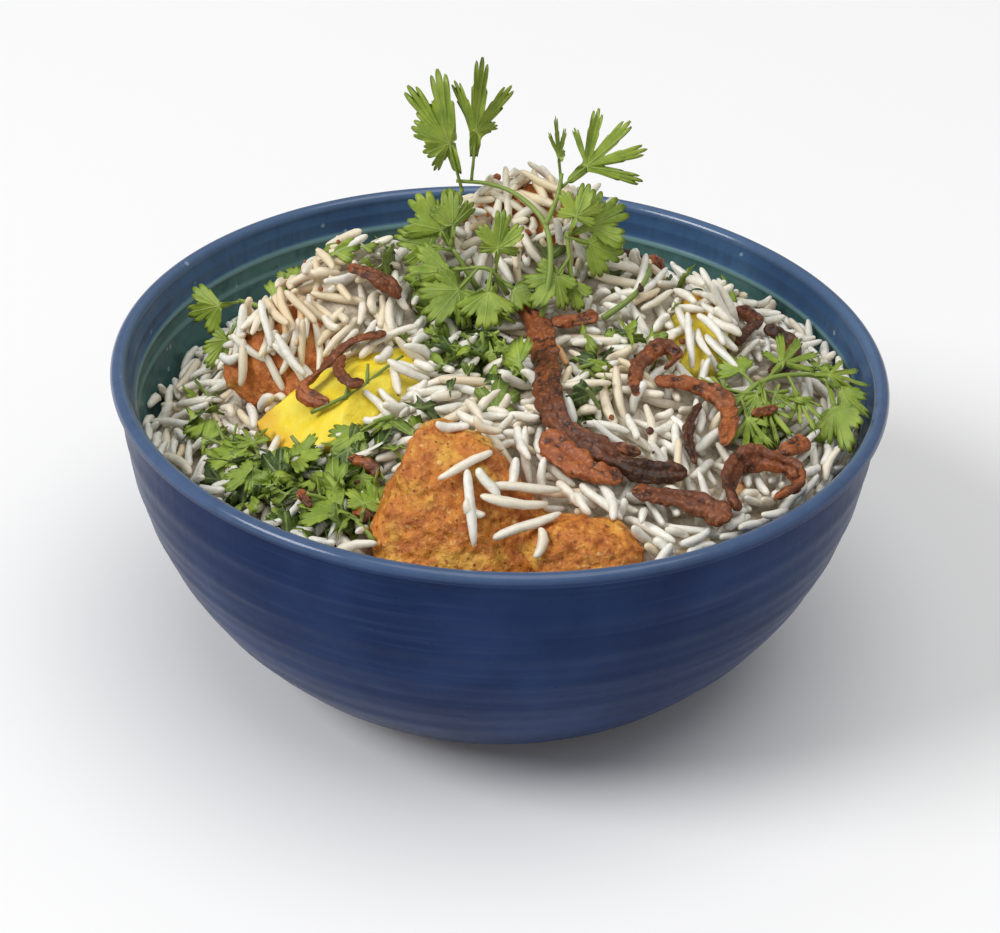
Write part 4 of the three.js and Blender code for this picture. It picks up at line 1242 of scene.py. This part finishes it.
# Each sprig's stems, and each of its leaves by its foot, its tip, its facing, its width and how it cups.
CORIANDER = {
    "coriander_top": {
        "stems": [
            [(9, -3, 88), (10.5, 3, 98), (9, 10, 105), (3, 17, 108.5), (-4, 21, 109.5), (-12, 22, 109.5)],
            [(-12.5, 9.5, 99), (-13, 15.5, 103), (-10.5, 21.5, 108)],
            [(9, 10, 105), (11.5, 15, 110), (12.3, 18, 114.5)],
        ],
        "leaves": [
            ((-10.5, 21.5, 107), (-18.5, 22, 135.5), FRONT, 0.85, 0.15),
            ((-8.5, 21.8, 109.6), (-6.8, 22.5, 140.5), FRONT, 0.82, -0.1),
            ((12.3, 18, 111.5), (10.2, 18, 128.5), FRONT, 0.45, 0.1),
            ((11.5, 17, 110.5), (26.5, 17, 126), FRONT, 1.05, 0.15),
        ],
    },
    "coriander_low_left": {
        "stems": [[(-6, 6, 90), (-12, 9, 98.5)]],
        "leaves": [
            ((-11.5, 9, 97), (-19.5, 13, 110), FRONT, 1.1, 0.2),
            ((-12, 9, 98), (-25, 10, 100), FRONT, 1.05, 0.2),
            ((-12, 9, 99), (-12.5, 12, 111), FRONT, 0.9, 0.2),
        ],
    },
    "coriander_low_front": {
        "stems": [[(1, 4, 90), (-3, 4, 96), (-8, 4, 96.5)]],
        "leaves": [
            ((-7, 4, 96.5), (-22, 3, 94.5), FRONT, 1.0, 0.2),
            ((-6, 4, 96.5), (-16, -7, 88.5), FRONT, 1.05, 0.2),
            ((-3, 4, 96), (-4, -8, 88.5), FRONT, 1.05, 0.2),
            ((-2, 4, 95.5), (-1, 7, 109), FRONT, 0.9, 0.1),
            ((-1, 4, 94), (7, -2, 91), FRONT, 0.9, 0.2),
        ],
    },
    "coriander_low_right": {
        "stems": [[(16, 3, 90), (15, 6, 97), (14, 10, 103.5)]],
        "leaves": [
            ((13.5, 10, 102), (27, 13, 108.5), FRONT, 1.1, 0.2),
            ((14.5, 9, 103), (18, 12, 114), FRONT, 1.05, 0.2),
            ((14, 9, 103), (27, 10, 98), FRONT, 1.1, 0.2),
            ((15, 7, 99), (8, -4, 92), FRONT, 0.95, 0.2),
            ((15, 6, 97), (17, 0, 89), FRONT, 0.9, 0.2),
        ],
    },
    "coriander_right": {
        "stems": [[(50, -28, 78), (55, -23, 82), (59, -19, 83), (64, -16, 83), (71, -13, 81.5),
                   (76, -14, 79.5)]],
        "leaves": [
            ((60, -18, 83), (69, -4, 85), UPWARD, 0.95, 0.1),
            ((68, -14, 82.5), (84, -10, 79.5), UPWARD, 0.8, 0.2),
            ((74, -13.5, 80.5), (77.5, -31, 75), FRONT, 0.6, 0.2),
            ((58, -20, 82.8), (62, -35, 78.5), UPWARD, 0.8, 0.2),
            ((54, -24, 81.5), (57, -40, 78), UPWARD, 0.7, 0.2),
            ((55, -23, 82), (43, -20, 83), UPWARD, 0.8, 0.2),
            ((57, -20, 82.5), (51, -8, 84), UPWARD, 0.8, 0.2),
            ((65, -16, 82.8), (70, -30, 79), UPWARD, 0.7, 0.2),
            ((60, -18, 83), (54, -31, 80.5), UPWARD, 0.8, 0.2),
            ((70, -13.5, 82), (76, -3, 81), UPWARD, 0.8, 0.2),
            ((73, -13, 81), (83, -21, 77.5), UPWARD, 0.7, 0.2),
            ((57, -21, 82.5), (68, -24, 81), UPWARD, 0.8, 0.2),
        ],
    },
    "coriander_left": {
        "stems": [[(-54, 16, 76), (-60, 18, 77), (-63, 21, 76)], [(-60, 18, 77), (-63, 15, 73.5)]],
        "leaves": [
            ((-62.5, 20.5, 76), (-75.5, 22, 71.5), FRONT, 0.95, 0.2),
            ((-62.5, 15, 74), (-69.5, 10, 63.5), FRONT, 0.7, 0.2),
        ],
    },
    "coriander_front_left": {
        "stems": [[(-54, -39, 66), (-52, -40, 70.5), (-48, -42, 71.5)]],
        "leaves": [
            ((-49, -41.5, 71.5), (-37.5, -45.5, 75), UPWARD, 1.0, -0.2),
            ((-52, -40, 70.5), (-57, -27, 71), UPWARD, 0.85, 0.2),
            ((-52.5, -40, 70), (-65, -34, 68), UPWARD, 0.8, 0.2),
            ((-51, -41, 71), (-46, -55, 70), UPWARD, 0.8, 0.2),
            ((-50, -41, 71), (-58, -50, 69), UPWARD, 0.75, 0.2),
        ],
    },
    "coriander_front": {
        "stems": [[(-23, -36, 80), (-27, -39.5, 80.8)]],
        "leaves": [
            ((-26, -39, 80.8), (-36, -45, 77), UPWARD, 1.0, 0.2),
        ],
    },
    "coriander_rim": {
        "stems": [[(-25, -70, 70), (-29, -67, 73)]],
        "leaves": [
            ((-28, -67.5, 73), (-41, -57, 73), UPWARD, 0.9, 0.2),
            ((-28, -67.5, 73), (-27, -55, 76), UPWARD, 0.85, 0.2),
        ],
    },
}

# The lobes that a sprig's leaves take in turn, where they aren't the plain ones.
SHAPED = {
    "coriander_top": (SWEPT, TALL, TALL, FAN), "coriander_right": (FAN, FINE, THREE, FINE),
    "coriander_front_left": (BROAD, FINE),
}


def stem_part(lines, thick, shade):
    """Stems as a part of a sprig."""
    place, skin = stems(lines, thick)
    return place, skin, np.zeros((len(place), 3)), 1.0, shade


for number, (node, plant) in enumerate(CORIANDER.items()):
    kinds = SHAPED.get(node, (THREE, BROAD))
    parts = [stem_part(plant["stems"], 0.75, 0.2)]
    for seed, (foot, tip, face, wide, cup) in enumerate(plant["leaves"]):
        leaf = {"foot": foot, "tip": tip, "face": face, "wide": wide, "cup": cup}
        shade = 0.15 + 0.3 * ((seed * 0.37 + number * 0.23) % 1)
        place, skin, marks = leaflet(leaf, kinds[seed % len(kinds)], 10 * number + seed)
        parts.append((place, skin, marks, 0.0, shade))
        middle = np.array(foot) + HEART * (np.array(tip) - np.array(foot))
        parts.append(stem_part([[foot, (np.array(foot) + middle) / 2, middle]], 0.42, 0.1))
    sprig(node + "_sprig", parts, node)

# A dry twig and a needle-leaved tip lie across the potato and beside it.
TWIGS = [
    [(-41.5, -31, 77.2), (-36, -30.6, 80.2), (-31, -27, 81.6), (-26, -20.5, 83), (-22, -16, 84)],
    [(-34, -30, 80.4), (-33.5, -27, 83)], [(-29.5, -25.5, 82), (-29.5, -22, 85)],
    [(-60, -33, 66.5), (-61.5, -29, 68.5), (-64, -24.5, 70.5)], [(-60, -33, 66.5), (-58.5, -27, 71)],
    [(-60.5, -31, 67.5), (-66, -28.5, 68.2)], [(-60, -33, 66.5), (-56, -31, 70)],
]
place, skin = stems(TWIGS, 0.5)
piece_from(
    "coriander_twigs", place, skin, herb.material, "coriander",
    {"leaf": np.zeros((len(place), 3)), "stalk": np.ones(len(place)), "tone": np.full(len(place), 0.8)},
)

STALK = [(23, -2, 88), (27, 0.5, 90), (30.7, 4, 91.8), (33.2, 10, 92.8), (34, 17, 92)]
sprig("green_stalk_bent", [stem_part([STALK], 0.8, 0.9)], "green_stalk")


# ---------------------------------------------------------------------------------------------------
# Chopped coriander and crumbs. Leaves and thin stems cut small and scattered over the rice, thickest at
# the front left and in the middle, with dark crumbs of fried onion and whole spice between the grains.


def lie(x, y, lift, tilt):
    """A place on top of the heap and a turn that lies on its slope, tilted at random."""
    step = 1.5
    slope = []
    for a, b in ((step, 0), (0, step)):
        rise = over(heights, x + a, y + b) - over(heights, x - a, y - b)
        slope.append(np.clip(rise / (2 * step), -1, 1))
    upright = Vector((-slope[0], -slope[1], 1)).normalized()
    turn = upright.to_track_quat("Z", "Y").to_matrix()
    turn = turn @ Matrix.Rotation(rng.uniform(0, 2 * np.pi), 3, "Z")
    turn = turn @ Matrix.Rotation(rng.normal(0, tilt), 3, "X") @ Matrix.Rotation(rng.normal(0, tilt), 3, "Y")
    return (x, y, over(heights, x, y) + lift), tuple(turn.to_euler())


onions = rays_along([bpy.data.objects[node + "_fried"] for node in ONION])


def strewn(clusters, kinds, smallest, largest, lift, tilt, shade):
    """Places beside the onion for small things in clusters, each given as middle, spreads and how many."""
    found = []
    for x0, y0, spread_x, spread_y, count in clusters:
        for _ in range(count):
            x, y = rng.normal(x0, spread_x), rng.normal(y0, spread_y)
            size = rng.uniform(smallest, largest)
            if np.hypot(x, y) > INSIDE_RADIUS - 2 - 0.4 * size or not over(open_rice, x, y):
                continue
            if max(over(onions, x + a, y + b) for a in (-3, 0, 3) for b in (-3, 0, 3)) > 0:
                continue
            at, turn = lie(x, y, lift, tilt)
            found.append({
                "at": at, "turn": turn, "size": (size,) * 3, "kind": rng.integers(kinds),
                "tone": np.clip(rng.normal(shade, 0.4), 0, 1),
            })
    return found


def chopped_shape(number):
    """A cut bit of leaf, one millimetre long, folded along its middle."""
    lobes = (BROAD[:1], BROAD[:2], BROAD[:3], BROAD)[number % 4]
    flat, faces, marks = leaf_shell(1.0, 1.1, lobes, 30, 2, 2.0, number)
    flat[:, 2] *= 0.4
    flat[:, 2] += 0.08 * number * np.abs(flat[:, 0]) - 0.3 * (flat[:, 1] - 0.5) ** 2
    flat[:, 1] -= 0.5
    return piece_from(f"chopped_{number}", flat, faces, herb.material, None, {"leaf": marks * 6})


chopped = kept_shapes("chopped", [chopped_shape(number) for number in range(6)])
# Clusters of chopped leaf: middle, spread each way, and how many.
LEAF_CLUSTERS = [
    (-47, -45, 7, 5, 60), (-59, -34, 3, 4, 18), (-35, -50, 5, 5, 46), (-28, -63, 5, 3, 26),
    (-43, -56, 4, 4, 24), (-26, -43, 5, 3, 18), (-3, -12, 7, 6, 66), (6, -28, 5, 5, 20), (21, -22, 5, 8, 34),
    (17, -38, 3, 3, 8), (30, -4, 4, 3, 10), (-12, 0, 6, 5, 46), (52, -38, 4, 3, 16), (62, -28, 6, 5, 30),
    (-46, 16, 4, 3, 6), (-30, 10, 4, 4, 4), (42, 22, 6, 4, 8), (76, -27, 2, 4, 6), (-68, -14, 3, 6, 16),
    (20, 14, 5, 4, 14), (-66, 12, 3, 4, 6), (0, 0, 45, 40, 40),
]
places = strewn(LEAF_CLUSTERS, 6, 4.5, 12.5, 1.0, 0.34, 0.45)
scattered("chopped_coriander", chopped, places, herb.material)


def bit_shape(number):
    """A short cut of thin stem, one millimetre long and one thick."""
    stretch = 4  # swept longer than thick and then squeezed, as the grains are
    line = [
        (stretch * s, 0.5 * s * s * (number - 1), 0.2 * np.sin(5 * s + number))
        for s in np.linspace(-0.5, 0.5, 5)
    ]
    made = rod(f"bit_{number}", [line], [(0.4, 0.5, 0.5, 0.5, 0.35)], 6, herb.material)
    move_points(made.data, points_of(made.data) / (stretch, 1, 1))
    return made


bits = kept_shapes("bits", [bit_shape(number) for number in range(3)])
STEM_CLUSTERS = [(-46, -44, 9, 7, 16), (-30, -55, 7, 6, 8), (0, -14, 10, 8, 8), (55, -36, 9, 6, 10),
                 (20, -25, 9, 9, 6)]
places = strewn(STEM_CLUSTERS, 3, 0.8, 1.2, 0.8, 0.25, 0.4)
for place in places:
    place["size"] = (rng.uniform(4, 11), place["size"][0], place["size"][0])
scattered("cut_stems", bits, places, herb.material)


def crumb_shape(number):
    """A rough crumb about one millimetre across."""
    shape = bmesh.new()
    bmesh.ops.create_icosphere(shape, subdivisions=2, radius=0.5)
    points = np.array([v.co for v in shape.verts])
    faces = [tuple(v.index for v in face.verts) for face in shape.faces]
    shape.free()
    points = points * (1 + 0.5 * unevenness(points + 5 * number, 0.45, 61))[:, None] * (1, 0.8, 0.6)
    return piece_from(f"crumb_{number}", points, faces, None, None)


crumb = Finish("fried crumbs", 0.4)
shade = crumb.attribute("tone")
rough = crumb.noise(0.6, 3)
brown = crumb.mix(shade.rise(0.2, 0.9), paint(160, 86, 42), paint(54, 34, 24))
crumb.relief(rough, 0.2)
crumb.done(crumb.mix(rough.rise(0.4, 0.7) * 0.5, brown, paint(96, 50, 28)), 0.3 + 0.3 * rough)
crumbs = kept_shapes("crumbs", [crumb_shape(number) for number in range(4)])
CRUMB_CLUSTERS = [(0, 0, 42, 38, 60), (-45, 0, 12, 10, 30), (30, -40, 16, 12, 50), (55, -5, 12, 12, 30),
                  (5, 24, 10, 8, 20), (-35, -50, 10, 9, 20)]
places = strewn(CRUMB_CLUSTERS, 4, 0.6, 2.0, 0.1, 1.0, 0.5)
scattered("crumbs_and_spice", crumbs, places, crumb.material)


# ---------------------------------------------------------------------------------------------------
# Floor, lights and camera.

floor_finish = Finish("pale table", 0.7)
speckle = floor_finish.noise(90, 2)
floor_finish.done(floor_finish.mix(speckle * 0.2, paint(250, 250, 250), paint(247, 247, 247)))
FLOOR_REACH = 3000
corners = [(x * FLOOR_REACH, y * FLOOR_REACH, 0) for x, y in ((-1, -1), (1, -1), (1, 1), (-1, 1))]
floor = piece_from("floor", corners, [(0, 1, 2, 3)], floor_finish.material, None)


def light(name, place, size, power):
    """A round lamp that faces the dish."""
    lamp = bpy.data.lights.new(name, "AREA")
    lamp.shape = "DISK"
    lamp.size = size
    lamp.energy = power
    lit = placed(name, lamp)
    lit.location = place
    lit.rotation_euler = (Vector((0, 0, 0.06)) - Vector(place)).to_track_quat("-Z", "Y").to_euler()


light("key", (-3.6, -1.5, 3.4), 2.4, 150)
light("overhead", (0.4, -0.4, 3.6), 3.4, 58)

world = bpy.data.worlds.new("studio")
world.use_nodes = True
world.node_tree.nodes["Background"].inputs["Color"].default_value = (1, 1, 1, 1)
world.node_tree.nodes["Background"].inputs["Strength"].default_value = 0.34
bpy.context.scene.world = world
bpy.context.scene.view_settings.view_transform = "Standard"

DISTANCE = 0.6
ELEVATION = np.radians(29.97)
lens = bpy.data.cameras.new("camera")
lens.lens = 92.96
lens.clip_start = 0.02
camera = placed("camera", lens)
eye = Vector((0, -DISTANCE * np.cos(ELEVATION), BOWL_HEIGHT * MM + DISTANCE * np.sin(ELEVATION)))
aim = Vector((0.00091, 0, 0.04539))
LEAN = np.radians(2.43)
facing = (aim - eye).to_track_quat("-Z", "Y").to_matrix() @ Matrix.Rotation(LEAN, 3, "Z")
camera.matrix_world = Matrix.Translation(eye) @ facing.to_4x4()
bpy.context.scene.camera = camera
